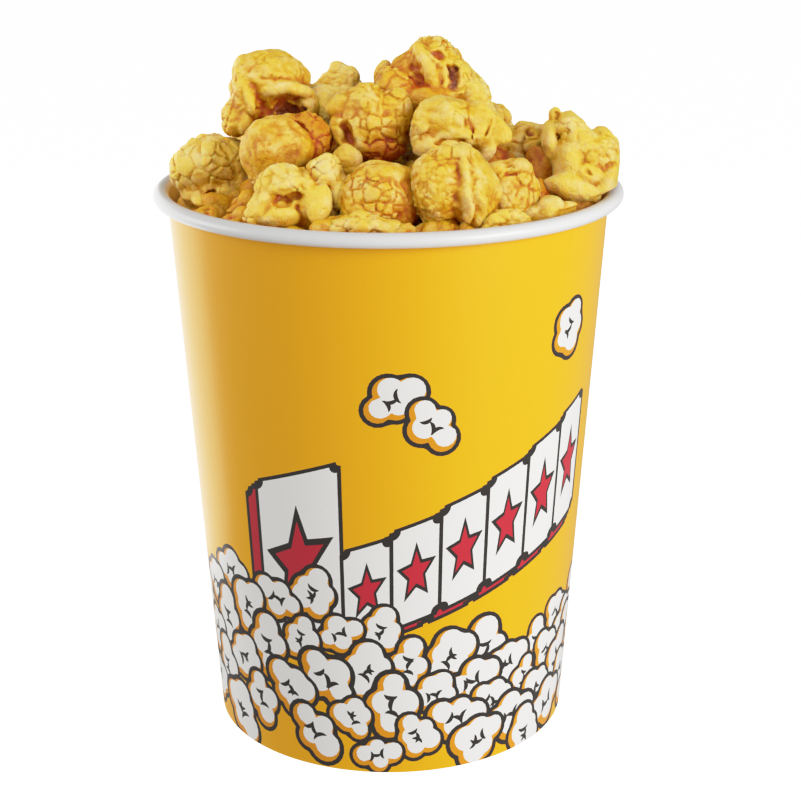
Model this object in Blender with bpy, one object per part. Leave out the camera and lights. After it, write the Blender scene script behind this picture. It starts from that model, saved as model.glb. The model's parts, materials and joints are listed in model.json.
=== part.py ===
"""A round paper tub of popcorn, heaped above its rolled rim.

Metres, +Z up. The origin is on the table, under the middle of the tub, and the tub's front faces -Y.
The tub is a cone of board with an outward rolled rim, a glued side seam at the back and a doubled hem
that carries the recessed base disc. The popcorn is one solid out to its uneven outline.
"""

import math

import bmesh
import bpy
import numpy as np

MM = 0.001
GAP = 0.3 * MM  # left between pieces that touch
TURN = 2.0 * math.pi

# Tub
TUB_HEIGHT = 141.6 * MM
RIM_RADIUS = 59.0 * MM
NECK_RADIUS = 55.4 * MM  # outside of the wall, where it turns into the rim
BASE_RADIUS = 46.1 * MM
BOARD = 0.5 * MM
RIM_ROLL_HEIGHT = 3.6 * MM
RIM_ROLL_STEPS = 10
RIM_ROLL_FROM = math.radians(180.0)
RIM_ROLL_TO = math.radians(-120.0)
NECK_HEIGHT = TUB_HEIGHT - RIM_ROLL_HEIGHT / 2
WALL_COLUMNS = 64

# Side seam, where one end of the board laps over the other
SEAM_ANGLE = math.radians(90.0)
SEAM_HALF = TURN / WALL_COLUMNS
SEAM_RAMP = 3 * SEAM_HALF
SEAM_EDGE = math.radians(0.05)
SEAM_TOP = 136.0 * MM

# Hem and base disc
HEM_THICKNESS = 2 * BOARD + GAP
HEM_HEIGHT = 8.7 * MM
DISC_THICKNESS = 0.6 * MM
DISC_BOTTOM = HEM_HEIGHT + GAP
DISC_TOP = DISC_BOTTOM + DISC_THICKNESS

# Heap
HEAP_REACH = 58.6 * MM  # farthest from the axis, above the rim
FILL_DEPTH = 12.0 * MM  # of the plain fill's top, under the rim's top
LUMP_STEPS = 3  # of each ball's icosphere
BUMPS = 8
BUMP_PLACE = 0.66
BUMP_SIZE = 0.40
LUMP_FILL = 0.92
MERGE_VOXEL = 1.3 * MM
HEAP_TRIANGLES = 4600
LINER_COLUMNS = 64
GOLDEN_ANGLE = math.pi * (3.0 - math.sqrt(5.0))

# The lumps of the heap's front and top, in mm: x, y, height of the middle over the rim's top,
# half width, half height
LUMPS = {
    "far_left": (-42.6, -8.0, 3.0, 11.2, 9.9),
    "cap": (-29.0, -3.0, 24.6, 10.3, 9.4),
    "cap_stem": (-36.4, -5.0, 19.6, 4.9, 5.9),
    "cap_foot": (-38.8, -7.0, 16.0, 3.7, 4.2),
    "smooth": (-26.6, -21.0, 12.3, 8.6, 7.9),
    "smooth_rear": (-19.0, -14.0, 12.7, 5.3, 6.8),
    "flower": (-24.1, -35.0, 6.9, 6.0, 5.6),
    "flower_right": (-15.4, -36.0, 5.4, 5.1, 6.5),
    "flower_lip": (-23.2, -40.0, 0.7, 3.7, 2.5),
    "centre": (-3.9, -13.0, 17.8, 9.7, 8.7),
    "centre_fold": (-11.1, -15.0, 16.7, 3.6, 5.3),
    "centre_lobe": (-10.3, -23.5, 10.2, 3.4, 3.2),
    "back": (-14.0, 8.0, 20.6, 7.6, 7.8),
    "front_ball": (-2.4, -36.0, 3.9, 8.8, 8.4),
    "flat": (-5.4, -46.0, -0.9, 5.9, 3.7),
    "peak": (12.9, -2.0, 27.7, 9.4, 9.2),
    "peak_left": (3.5, -4.0, 24.1, 6.6, 5.9),
    "peak_flank": (20.8, -2.0, 18.8, 6.4, 7.4),
    "peak_finger": (-1.4, 0.0, 27.5, 2.0, 2.7),
    "wing": (12.9, -19.0, 16.8, 7.7, 7.2),
    "wing_petal": (23.1, -17.0, 14.0, 5.3, 5.3),
    "grain": (13.6, -38.0, 6.4, 8.1, 9.7),
    "grain_petals": (21.8, -36.0, 4.1, 4.2, 7.0),
    "right": (28.8, -31.0, 3.9, 6.8, 6.8),
    "low_right": (25.4, -43.0, -1.2, 5.4, 3.4),
    "low_far_right": (36.6, -36.0, 0.0, 4.4, 3.2),
    "shade": (33.9, -2.0, 9.2, 5.5, 6.0),
    "shade_low": (37.4, -12.0, 5.1, 3.4, 4.4),
    "open": (46.2, -14.0, 8.9, 9.2, 9.7),
    "open_lip": (42.4, -22.0, 3.9, 6.2, 2.9),
    "open_right": (53.0, -10.0, 3.6, 4.2, 4.2),
    "under_front": (5.7, -22.0, 3.2, 6.8, 6.8),
    "under_left": (-11.5, -21.5, 4.4, 7.2, 6.8),
    "under_peak": (12.0, 2.0, 10.0, 9.0, 9.0),
    "under_centre": (-11.0, -2.0, 7.0, 9.0, 9.0),
    "under_back": (-11.0, 10.5, 9.5, 8.8, 8.6),
    "under_cap": (-26.5, 3.0, 8.5, 9.2, 8.8),
    "behind_centre": (1.0, 12.0, 11.5, 9.2, 8.6),
    "behind_flank": (27.0, 10.0, 4.5, 8.6, 8.0),
    "under_flank": (24.5, -8.0, 4.0, 8.4, 8.0),
}
# The lumps behind, in rings: distance from the axis, height, half size, first and last angle, count
BACK_RINGS = (
    (43.6, 0.0, 9.8, 4.0, 168.0, 7),
    (27.0, 7.5, 9.6, 38.0, 150.0, 4),
)
CORE = (0.0, 0.0, -10.0, 64.0, 13.0)

YELLOW_PRINT = (0.90, 0.53, 0.02, 1.0)
WHITE_BOARD = (0.80, 0.79, 0.77, 1.0)
POPCORN = (0.80, 0.52, 0.09, 1.0)


def clear_scene():
    """Removes the objects that the scene starts with."""
    for thing in list(bpy.data.objects):
        bpy.data.objects.remove(thing, do_unlink=True)


def material(name, colour, roughness):
    """A plain, non-metallic Principled material."""
    made = bpy.data.materials.new(name)
    made.use_nodes = True
    shader = made.node_tree.nodes["Principled BSDF"]
    shader.inputs["Base Color"].default_value = colour
    shader.inputs["Roughness"].default_value = roughness
    shader.inputs["Metallic"].default_value = 0.0
    made.diffuse_color = colour
    return made


def add_object(name, shape, finish, sharp_degrees):
    """Turns a bmesh into a smooth-shaded object with one material."""
    bmesh.ops.recalc_face_normals(shape, faces=shape.faces)
    mesh = bpy.data.meshes.new(name)
    shape.to_mesh(mesh)
    shape.free()
    mesh.materials.append(finish)
    mesh.shade_smooth()
    mesh.set_sharp_from_angle(angle=math.radians(sharp_degrees))
    made = bpy.data.objects.new(name, mesh)
    bpy.context.scene.collection.objects.link(made)
    return made


def wall_radius(height):
    """Outside radius of the tub's wall at a height."""
    return BASE_RADIUS + (NECK_RADIUS - BASE_RADIUS) * height / NECK_HEIGHT


def rim_arc(half_width, half_height):
    """Points of the rolled rim's section, from the neck over the top and down the outside."""
    middle = (NECK_RADIUS - BOARD + RIM_RADIUS) / 2
    points = []
    for step in range(RIM_ROLL_STEPS + 1):
        angle = RIM_ROLL_FROM + (RIM_ROLL_TO - RIM_ROLL_FROM) * step / RIM_ROLL_STEPS
        radius = middle + half_width * math.cos(angle)
        height = NECK_HEIGHT + half_height * math.sin(angle)
        points.append((radius, height))
    return points


def wall_section(outer_shift, inner_shift):
    """The wall's closed section, as radius and height, with the seam's shift of each face."""
    half_width = (RIM_RADIUS - NECK_RADIUS + BOARD) / 2
    half_height = RIM_ROLL_HEIGHT / 2
    hem_inside = BASE_RADIUS - HEM_THICKNESS
    section = [
        (hem_inside, 0.0),
        (BASE_RADIUS + outer_shift, 0.0),
        (wall_radius(SEAM_TOP) + outer_shift, SEAM_TOP),
    ]
    section += rim_arc(half_width - BOARD, half_height - BOARD)
    section += reversed(rim_arc(half_width, half_height))
    section += [
        (wall_radius(SEAM_TOP) - BOARD + inner_shift, SEAM_TOP),
        (wall_radius(HEM_HEIGHT) - BOARD + inner_shift, HEM_HEIGHT),
        (hem_inside + wall_radius(HEM_HEIGHT) - BASE_RADIUS, HEM_HEIGHT),
    ]
    return section


def seam_columns():
    """Angle and shift of the wall's two faces for each of its columns.

    The outer end of the board climbs a ramp, laps over the inner end and stops. Each end makes a step
    of one board's thickness, on the face where it shows.
    """
    columns = []
    for index in range(WALL_COLUMNS):
        angle = index * TURN / WALL_COLUMNS
        past_ramp = angle - (SEAM_ANGLE - SEAM_HALF - SEAM_RAMP)
        lift = BOARD * min(max(past_ramp / SEAM_RAMP, 0.0), 1.0)
        step = round((angle - SEAM_ANGLE) / SEAM_HALF)
        if step == -1:
            columns.append((angle - SEAM_EDGE, BOARD, BOARD))
            columns.append((angle + SEAM_EDGE, BOARD, 0.0))
        elif step == 0:
            columns.append((angle, BOARD, 0.0))
        elif step == 1:
            columns.append((angle - SEAM_EDGE, BOARD, 0.0))
            columns.append((angle + SEAM_EDGE, 0.0, 0.0))
        elif step < 0:
            columns.append((angle, lift, lift))
        else:
            columns.append((angle, 0.0, 0.0))
    return columns


def build_sidewall(finish):
    """The board cone with its hem, side seam and rolled rim, as one closed skin."""
    shape = bmesh.new()
    rings = []
    for angle, outer_shift, inner_shift in seam_columns():
        ring = []
        for radius, height in wall_section(outer_shift, inner_shift):
            place = (radius * math.cos(angle), radius * math.sin(angle), height)
            ring.append(shape.verts.new(place))
        rings.append(ring)
    count = len(rings[0])
    for index, ring in enumerate(rings):
        following = rings[(index + 1) % len(rings)]
        for point in range(count):
            beyond = (point + 1) % count
            corners = (ring[point], following[point], following[beyond], ring[beyond])
            shape.faces.new(corners)
    return add_object("sidewall", shape, finish, 40.0)


def build_base_disc(finish):
    """The flat disc that stands on the hem's top edge."""
    radius = wall_radius(DISC_BOTTOM) - BOARD - GAP
    shape = bmesh.new()
    made = bmesh.ops.create_circle(shape, cap_ends=True, segments=WALL_COLUMNS, radius=radius)
    for vertex in made["verts"]:
        vertex.co.z = DISC_BOTTOM
    raised = bmesh.ops.extrude_face_region(shape, geom=list(shape.faces))
    top = [item for item in raised["geom"] if isinstance(item, bmesh.types.BMVert)]
    bmesh.ops.translate(shape, verts=top, vec=(0.0, 0.0, DISC_THICKNESS))
    return add_object("base_disc", shape, finish, 40.0)


def sphere_direction(index, count):
    """The index-th of count directions spread evenly over a sphere."""
    height = 1.0 - 2.0 * (index + 0.5) / count
    across = math.sqrt(1.0 - height * height)
    angle = index * GOLDEN_ANGLE
    return np.array((across * math.cos(angle), across * math.sin(angle), height))


def back_lumps():
    """Rows like LUMPS for the heap's far side."""
    rows = []
    for distance, height, half, first, last, count in BACK_RINGS:
        for index in range(count):
            angle = math.radians(first + (last - first) * index / (count - 1))
            uneven = 1.0 + 0.10 * math.cos(5.0 * index)
            lifted = height + 2.0 * math.cos(4.0 * index)
            away = distance * math.cos(angle)
            behind = distance * math.sin(angle)
            rows.append((away, behind, lifted, half * uneven, half * uneven))
    return rows


def heap_balls():
    """Centre and half sizes, in mm over the rim's top, of every ball whose outline makes the heap."""
    balls = [(CORE[:3], (CORE[3], CORE[3], CORE[4]))]
    for x, y, height, half_width, half_height in list(LUMPS.values()) + back_lumps():
        centre = np.array((x, y, height))
        half = np.array((half_width, half_width, half_height))
        balls.append((centre, half * LUMP_FILL))
        for index in range(BUMPS):
            place = centre + BUMP_PLACE * half * sphere_direction(index, BUMPS)
            balls.append((place, np.full(3, BUMP_SIZE * min(half_width, half_height))))
    return balls


def modified(thing, name, kind, **settings):
    """Adds a modifier and keeps what it makes as the object's own mesh."""
    modifier = thing.modifiers.new(name, kind)
    for setting, value in settings.items():
        setattr(modifier, setting, value)
    evaluated = thing.evaluated_get(bpy.context.evaluated_depsgraph_get())
    made = bpy.data.meshes.new_from_object(evaluated)
    thing.modifiers.clear()
    thing.data = made


def merged_lumps():
    """An object of all the balls as one skin, whose flat underside lies far below the tub."""
    shape = bmesh.new()
    for centre, half in heap_balls():
        ball = bmesh.ops.create_icosphere(shape, subdivisions=LUMP_STEPS, radius=1.0)["verts"]
        for vertex in ball:
            for axis in range(3):
                vertex.co[axis] = (centre[axis] + half[axis] * vertex.co[axis]) * MM
            vertex.co.z = max(vertex.co.z, -FILL_DEPTH)
    mesh = bpy.data.meshes.new("lumps")
    shape.to_mesh(mesh)
    shape.free()
    lumps = bpy.data.objects.new("lumps", mesh)
    bpy.context.scene.collection.objects.link(lumps)
    modified(lumps, "merge", "REMESH", mode="VOXEL", voxel_size=MERGE_VOXEL)
    modified(lumps, "triangles", "TRIANGULATE")
    ratio = HEAP_TRIANGLES / len(lumps.data.polygons)
    modified(lumps, "thin_out", "DECIMATE", ratio=ratio)
    for vertex in lumps.data.vertices:
        below = vertex.co.z < -FILL_DEPTH + MERGE_VOXEL
        vertex.co.z = -GAP if below else vertex.co.z + TUB_HEIGHT
    return lumps


def liner():
    """The room that the popcorn may fill: the tub's inside, and a wider stretch above its rim."""
    bottom = DISC_TOP + GAP
    lip_height = TUB_HEIGHT + GAP
    lip_radius = wall_radius(TUB_HEIGHT) - BOARD - GAP
    section = (
        (wall_radius(bottom) - BOARD - GAP, bottom),
        (lip_radius, lip_height),
        (HEAP_REACH, lip_height + (HEAP_REACH - lip_radius) / 2),
        (HEAP_REACH, 2 * TUB_HEIGHT),
    )
    shape = bmesh.new()
    rings = []
    for radius, height in section:
        ring = bmesh.ops.create_circle(shape, segments=LINER_COLUMNS, radius=radius)["verts"]
        for vertex in ring:
            vertex.co.z = height
        rings.append(ring)
    for lower, upper in zip(rings, rings[1:]):
        for index, corner in enumerate(lower):
            beyond = (index + 1) % LINER_COLUMNS
            shape.faces.new((corner, lower[beyond], upper[beyond], upper[index]))
    shape.faces.new(rings[0])
    shape.faces.new(rings[-1])
    return shape


def build_heap(finish):
    """The popcorn as one solid: a lumpy top, and a plain fill down to the base disc."""
    lumps = merged_lumps()
    heap = add_object("popcorn_heap", liner(), finish, 70.0)
    modified(heap, "lumpy_top", "BOOLEAN", operation="INTERSECT", object=lumps, solver="EXACT")
    bpy.data.objects.remove(lumps, do_unlink=True)
    return heap


def main():
    """Builds the tub and what fills it."""
    clear_scene()
    build_sidewall(material("printed_board", YELLOW_PRINT, 0.35))
    build_base_disc(material("white_board", WHITE_BOARD, 0.6))
    build_heap(material("popcorn", POPCORN, 0.6))


main()
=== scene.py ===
"""Finished looks of a round paper tub, heaped with cheese-coated popcorn.

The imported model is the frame: a board cone with a rolled rim, its base disc and one solid for the heap.
Here the wall gets its printed face and the heap is replaced with popped kernels over a smaller core.
Sizes are in millimetres, and turned to metres where meshes, lamps and the camera are made.
"""

import json
import logging
import math
from dataclasses import dataclass, field, replace
from enum import Enum
from itertools import product
from typing import Any, Sequence

import bpy
import numpy as np
from mathutils import Euler, Matrix, Vector
from mathutils.geometry import delaunay_2d_cdt

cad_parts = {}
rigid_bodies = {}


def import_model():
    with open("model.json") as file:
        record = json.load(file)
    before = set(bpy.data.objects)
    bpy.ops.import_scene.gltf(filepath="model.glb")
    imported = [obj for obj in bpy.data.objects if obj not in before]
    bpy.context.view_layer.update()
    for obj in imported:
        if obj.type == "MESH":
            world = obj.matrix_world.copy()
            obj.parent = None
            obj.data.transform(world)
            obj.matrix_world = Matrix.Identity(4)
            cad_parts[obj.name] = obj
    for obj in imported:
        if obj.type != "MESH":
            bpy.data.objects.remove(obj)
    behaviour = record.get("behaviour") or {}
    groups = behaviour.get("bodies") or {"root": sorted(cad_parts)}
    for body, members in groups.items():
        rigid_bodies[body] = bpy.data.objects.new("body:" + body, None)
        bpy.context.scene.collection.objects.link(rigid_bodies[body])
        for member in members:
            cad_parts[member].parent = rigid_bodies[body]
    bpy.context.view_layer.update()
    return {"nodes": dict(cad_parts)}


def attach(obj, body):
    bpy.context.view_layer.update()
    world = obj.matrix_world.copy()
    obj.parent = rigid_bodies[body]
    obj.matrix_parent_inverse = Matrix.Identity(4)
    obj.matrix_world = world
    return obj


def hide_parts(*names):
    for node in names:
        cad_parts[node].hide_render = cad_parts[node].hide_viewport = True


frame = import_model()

LOG = logging.getLogger("popcorn_tub")
MM = 0.001
TURN = 2.0 * math.pi
GOLDEN_ANGLE = math.pi * (3.0 - math.sqrt(5.0))
RIM_TOP = 141.6  # mm over the table
GAP = 0.3  # mm left between pieces that touch
VOXELS = ((0.7, 0.36), (0.95, 0.6), (1.3, 0.9))  # mm, quick and full, for front, crowd and bedding

Triple = tuple[float, float, float]
Pair = tuple[float, float]


# ---------------------------------------------------------------------------------------------------
# Small helpers
# ---------------------------------------------------------------------------------------------------


def linear(colour: str) -> tuple[float, float, float, float]:
    """Turn an sRGB hex colour into the linear colour that shaders take.

    Args:
        colour: The colour as "#rrggbb".

    Returns:
        Linear red, green and blue with an alpha of 1.
    """
    channels = [int(colour[start : start + 2], 16) / 255.0 for start in (1, 3, 5)]
    made = [c / 12.92 if c <= 0.04045 else ((c + 0.055) / 1.055) ** 2.4 for c in channels]
    return (made[0], made[1], made[2], 1.0)


def set_sockets(
    tree: bpy.types.NodeTree,
    node: bpy.types.Node,
    values: dict[str | int, Any],
    links: dict[str | int, Any],
) -> None:
    """Set a node's input sockets.

    Args:
        tree: The node tree that holds the node.
        node: The node.
        values: Constants, by the name or number of the input.
        links: Output sockets of other nodes, by the input that each one feeds.
    """
    for name, value in values.items():
        node.inputs[name].default_value = value
    for name, source in links.items():
        tree.links.new(source, node.inputs[name])


def add_node(
    tree: bpy.types.NodeTree,
    kind: str,
    settings: dict[str | int, Any] | None = None,
    links: dict[str | int, Any] | None = None,
) -> bpy.types.Node:
    """Add one node with its settings and links.

    Args:
        tree: The node tree that gets the node.
        kind: The node's type name.
        settings: Values by name. A name of the node's own property sets that, and any other name or
            number is an input socket's.
        links: Output sockets of other nodes, by the input that each one feeds.

    Returns:
        The new node.
    """
    node = tree.nodes.new(kind)
    values = dict(settings or {})
    for name in [name for name in values if isinstance(name, str) and hasattr(node, name)]:
        setattr(node, name, values.pop(name))
    set_sockets(tree, node, values, links or {})
    return node


def new_material(name: str) -> tuple[bpy.types.Material, bpy.types.NodeTree, bpy.types.Node]:
    """Make a material that holds only a Principled shader and its output.

    Args:
        name: The material's name.

    Returns:
        The material, its node tree and its shader.
    """
    material = bpy.data.materials.new(name)
    material.use_nodes = True
    tree = material.node_tree
    shader = next(node for node in tree.nodes if node.type == "BSDF_PRINCIPLED")
    return material, tree, shader


def ramp(
    tree: bpy.types.NodeTree,
    factor: bpy.types.NodeSocket,
    stops: Sequence[tuple[float, str]],
) -> bpy.types.NodeSocket:
    """Add a colour ramp.

    Args:
        tree: The node tree.
        factor: What runs along the ramp.
        stops: Position and hex colour of each stop, in order.

    Returns:
        The ramp's colour output.
    """
    node = add_node(tree, "ShaderNodeValToRGB", links={"Fac": factor})
    elements = node.color_ramp.elements
    while len(elements) < len(stops):
        elements.new(1.0)
    for element, (position, colour) in zip(elements, stops):
        element.position = position
        element.color = linear(colour)
    return node.outputs["Color"]


def mesh_object(
    name: str,
    points: np.ndarray,
    faces: np.ndarray,
    materials: Sequence[bpy.types.Material],
    face_materials: np.ndarray | None = None,
) -> bpy.types.Object:
    """Make a smooth-shaded mesh object out of arrays.

    Args:
        name: The object's name.
        points: Vertex places in millimetres, one row each.
        faces: Vertex numbers, one row for each face, all with the same number of corners.
        materials: The object's material slots.
        face_materials: The slot of each face, or None for the first.

    Returns:
        The new object, linked into the scene.
    """
    corners = faces.shape[1]
    mesh = bpy.data.meshes.new(name)
    mesh.vertices.add(len(points))
    mesh.vertices.foreach_set("co", (points * MM).astype(np.float32).ravel())
    mesh.loops.add(faces.size)
    mesh.loops.foreach_set("vertex_index", faces.astype(np.int32).ravel())
    mesh.polygons.add(len(faces))
    mesh.polygons.foreach_set("loop_start", np.arange(0, faces.size, corners, dtype=np.int32))
    if face_materials is not None:
        mesh.polygons.foreach_set("material_index", face_materials.astype(np.int32))
    for material in materials:
        mesh.materials.append(material)
    mesh.update(calc_edges=True)
    mesh.validate()
    mesh.shade_smooth()
    made = bpy.data.objects.new(name, mesh)
    bpy.context.scene.collection.objects.link(made)
    return made


def point_attribute(piece: bpy.types.Object, name: str, values: np.ndarray) -> None:
    """Store one number for each vertex of a piece under a name."""
    layer = piece.data.attributes.new(name, "FLOAT", "POINT")
    layer.data.foreach_set("value", values.astype(np.float32))


def report(piece: bpy.types.Object) -> None:
    """Log a piece's name and its count of triangles."""
    triangles = sum(len(face.vertices) - 2 for face in piece.data.polygons)
    LOG.info("%s: %d triangles", piece.name, triangles)


def fits_frame(piece: bpy.types.Object, slot: str, *replaced: str) -> None:
    """Ride a piece on the only body and hide the solids that it stands for.

    Args:
        piece: The piece.
        slot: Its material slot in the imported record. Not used.
        replaced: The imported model's nodes that it stands for.
    """
    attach(piece, "root")
    if replaced:
        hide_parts(*replaced)


# ---------------------------------------------------------------------------------------------------
# Finishes
# ---------------------------------------------------------------------------------------------------


@dataclass(frozen=True)
class CoatedBoard:
    """Clay-coated paperboard, printed or bare, under a thin gloss varnish.

    The clay makes the colour even, the fibres under it leave a faint unevenness in the gloss, and the
    varnish gives a soft, wide highlight.
    """

    name: str
    colour: str
    roughness: float = 0.34
    coat: float = 0.15
    shine: float = 0.5
    coat_roughness: float = 0.18
    mottle: float = 0.04
    duller: float = 0.05  # added to the roughness between the flocs
    glossier: float = 0.03  # taken from it on the flocs
    fibre_mm: float = 1.4  # flocs of fibre, real ones are 0.5 to 3 mm
    fibre_depth_mm: float = 0.004

    def material(self) -> bpy.types.Material:
        """Build the material.

        Returns:
            The material.
        """
        material, tree, shader = new_material(self.name)
        place = add_node(tree, "ShaderNodeTexCoord").outputs["Object"]
        noise = {"Scale": 1.0 / (self.fibre_mm * MM), "Detail": 3.0, "Roughness": 0.6}
        flocs = add_node(tree, "ShaderNodeTexNoise", noise, {"Vector": place}).outputs["Fac"]
        base = linear(self.colour)
        darker = tuple(channel * (1.0 - self.mottle) for channel in base[:3]) + (1.0,)
        tint = add_node(tree, "ShaderNodeMix", {"data_type": "RGBA", 6: darker, 7: base}, {0: flocs})
        ends = {3: self.roughness - self.glossier, 4: self.roughness + self.duller}
        gloss = add_node(tree, "ShaderNodeMapRange", ends, {0: flocs})
        depth = {"Strength": 1.0, "Distance": self.fibre_depth_mm * MM}
        bump = add_node(tree, "ShaderNodeBump", depth, {"Height": flocs})
        constants = {
            "IOR": 1.5,
            "Coat Weight": self.coat,
            "Coat Roughness": self.coat_roughness,
            "Specular IOR Level": self.shine,
        }
        patterns = {"Base Color": tint.outputs[2], "Roughness": gloss.outputs[0], "Normal": bump.outputs[0]}
        set_sockets(tree, shader, constants, patterns)
        return material


@dataclass(frozen=True)
class CheeseCoatedCorn:
    """Popped maize flake under baked cheese and butter.

    The flake is starch foam, so light sinks in and comes out warm, and the butter leaves a satin skin.
    The folds go deep orange, from cheese and painted shade, and bits of the hull stay brown in the hollows.
    Undersides and faces turned to the right are painted deeper, as shade. Where less stuck, the flake
    shows paler, and the crust has fine cracks from drying.
    """

    name: str = "cheese_coated_corn"
    high: str = "#dab748"
    middle: str = "#cea118"
    low: str = "#bd7d12"
    deep: str = "#ac4a12"
    pale: str = "#e2cfa0"
    hull: str = "#8a4426"
    roughness: float = 0.46
    hull_roughness: float = 0.24
    glow_mm: float = 2.4
    crack_mm: float = 1.5
    crack_depth_mm: float = 0.08
    crack_tone: float = 0.05  # how much deeper a crack's colour is
    crumb_mm: float = 0.45  # the foam's own bubbles are 0.05 to 0.1 mm, drawn coarser so they show
    crumb_depth_mm: float = 0.08
    powder_mm: float = 2.4
    powder: float = 0.30
    bare_mm: float = 5.0
    bare: float = 0.55
    painted_shade_side: Triple = (0.5, 0.2, -0.84)  # the way that faces turn to get the most painted shade: down, right and back
    # How much deeper in colour the painted shade on those faces is.
    painted_underside_shade: float = 0.34

    def material(self) -> bpy.types.Material:
        """Build the material.

        Returns:
            The material.
        """
        material, tree, shader = new_material(self.name)
        coordinates = add_node(tree, "ShaderNodeTexCoord")
        place = {"Vector": coordinates.outputs["Object"]}
        cavity, hull, tone = (
            add_node(tree, "ShaderNodeAttribute", {"attribute_name": layer}).outputs["Fac"]
            for layer in ("cavity", "hull", "tone")
        )
        powder, crumb, bare = (
            add_node(
                tree,
                "ShaderNodeTexNoise",
                {"Scale": 1.0 / (size * MM), "Detail": detail, "Roughness": 0.62},
                place,
            ).outputs["Fac"]
            for size, detail in ((self.powder_mm, 5.0), (self.crumb_mm, 2.0), (self.bare_mm, 3.0))
        )
        plates = {"feature": "DISTANCE_TO_EDGE", "Scale": 1.0 / (self.crack_mm * MM)}
        edge = add_node(tree, "ShaderNodeTexVoronoi", plates, place).outputs["Distance"]
        # Painted shade: faces turned down and to the right come out deeper in colour.
        toward_painted_shade = {"operation": "DOT_PRODUCT", 1: self.painted_shade_side}
        facing = {0: coordinates.outputs["Normal"]}
        painted_shade_facing = add_node(tree, "ShaderNodeVectorMath", toward_painted_shade, facing).outputs["Value"]
        # Each pattern's range, and what its low and high ends are turned into
        crack, painted_underside_shade, thin, patchy = (
            add_node(tree, "ShaderNodeMapRange", dict(enumerate(span, 1)), {0: pattern}).outputs[0]
            for pattern, span in (
                (edge, (0.0, 0.16, 1.0, 0.0)),
                (painted_shade_facing, (-0.1, 1.0, 0.0, self.painted_underside_shade)),
                (bare, (0.46, 0.68, 0.0, self.bare)),
                (powder, (0.34, 0.56, 0.45, 1.0)),
            )
        )
        dust = {"operation": "MULTIPLY_ADD", 1: self.powder, 2: -0.5 * self.powder}
        spread = add_node(tree, "ShaderNodeMath", dust, {0: powder}).outputs[0]
        deeper = {"operation": "MULTIPLY_ADD", 1: self.crack_tone}
        cracked = add_node(tree, "ShaderNodeMath", deeper, {0: crack, 2: spread}).outputs[0]
        # Painted shade, with the cheese that gathers there: sunken places and folds start deeper in colour.
        toned = cavity
        for part in (cracked, painted_underside_shade, tone):
            total = {"operation": "ADD", "use_clamp": part is tone}
            toned = add_node(tree, "ShaderNodeMath", total, {0: toned, 1: part}).outputs[0]
        stops = ((0.02, self.high), (0.36, self.middle), (0.68, self.low), (1.0, self.deep))
        colour = ramp(tree, toned, stops)
        crests = dict(enumerate((0.15, 0.55, 1.0, 0.0), 1))
        raised = add_node(tree, "ShaderNodeMapRange", crests, {0: toned}).outputs[0]
        for cover, share, kept in ((self.pale, thin, raised), (self.hull, hull, patchy)):
            both = {"operation": "MULTIPLY"}
            covered = add_node(tree, "ShaderNodeMath", both, {0: share, 1: kept}).outputs[0]
            laid = {"data_type": "RGBA", 7: linear(cover)}
            colour = add_node(tree, "ShaderNodeMix", laid, {0: covered, 6: colour}).outputs[2]
        ends = {3: self.roughness, 4: self.hull_roughness}
        gloss = add_node(tree, "ShaderNodeMapRange", ends, {0: covered}).outputs[0]
        split = {"Strength": 1.0, "Distance": self.crack_depth_mm * MM, "invert": True}
        grooves = add_node(tree, "ShaderNodeBump", split, {"Height": crack}).outputs["Normal"]
        foam = {"Strength": 1.0, "Distance": self.crumb_depth_mm * MM}
        bump = add_node(tree, "ShaderNodeBump", foam, {"Height": crumb, "Normal": grooves}).outputs["Normal"]
        constants = {
            "IOR": 1.45,
            "Specular IOR Level": 0.32,
            "Subsurface Weight": 0.6,
            "Subsurface Radius": (1.0, 0.42, 0.06),
            "Subsurface Scale": self.glow_mm * MM,
        }
        set_sockets(tree, shader, constants, {"Base Color": colour, "Normal": bump, "Roughness": gloss})
        return material


# ---------------------------------------------------------------------------------------------------
# The tub
# ---------------------------------------------------------------------------------------------------


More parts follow.
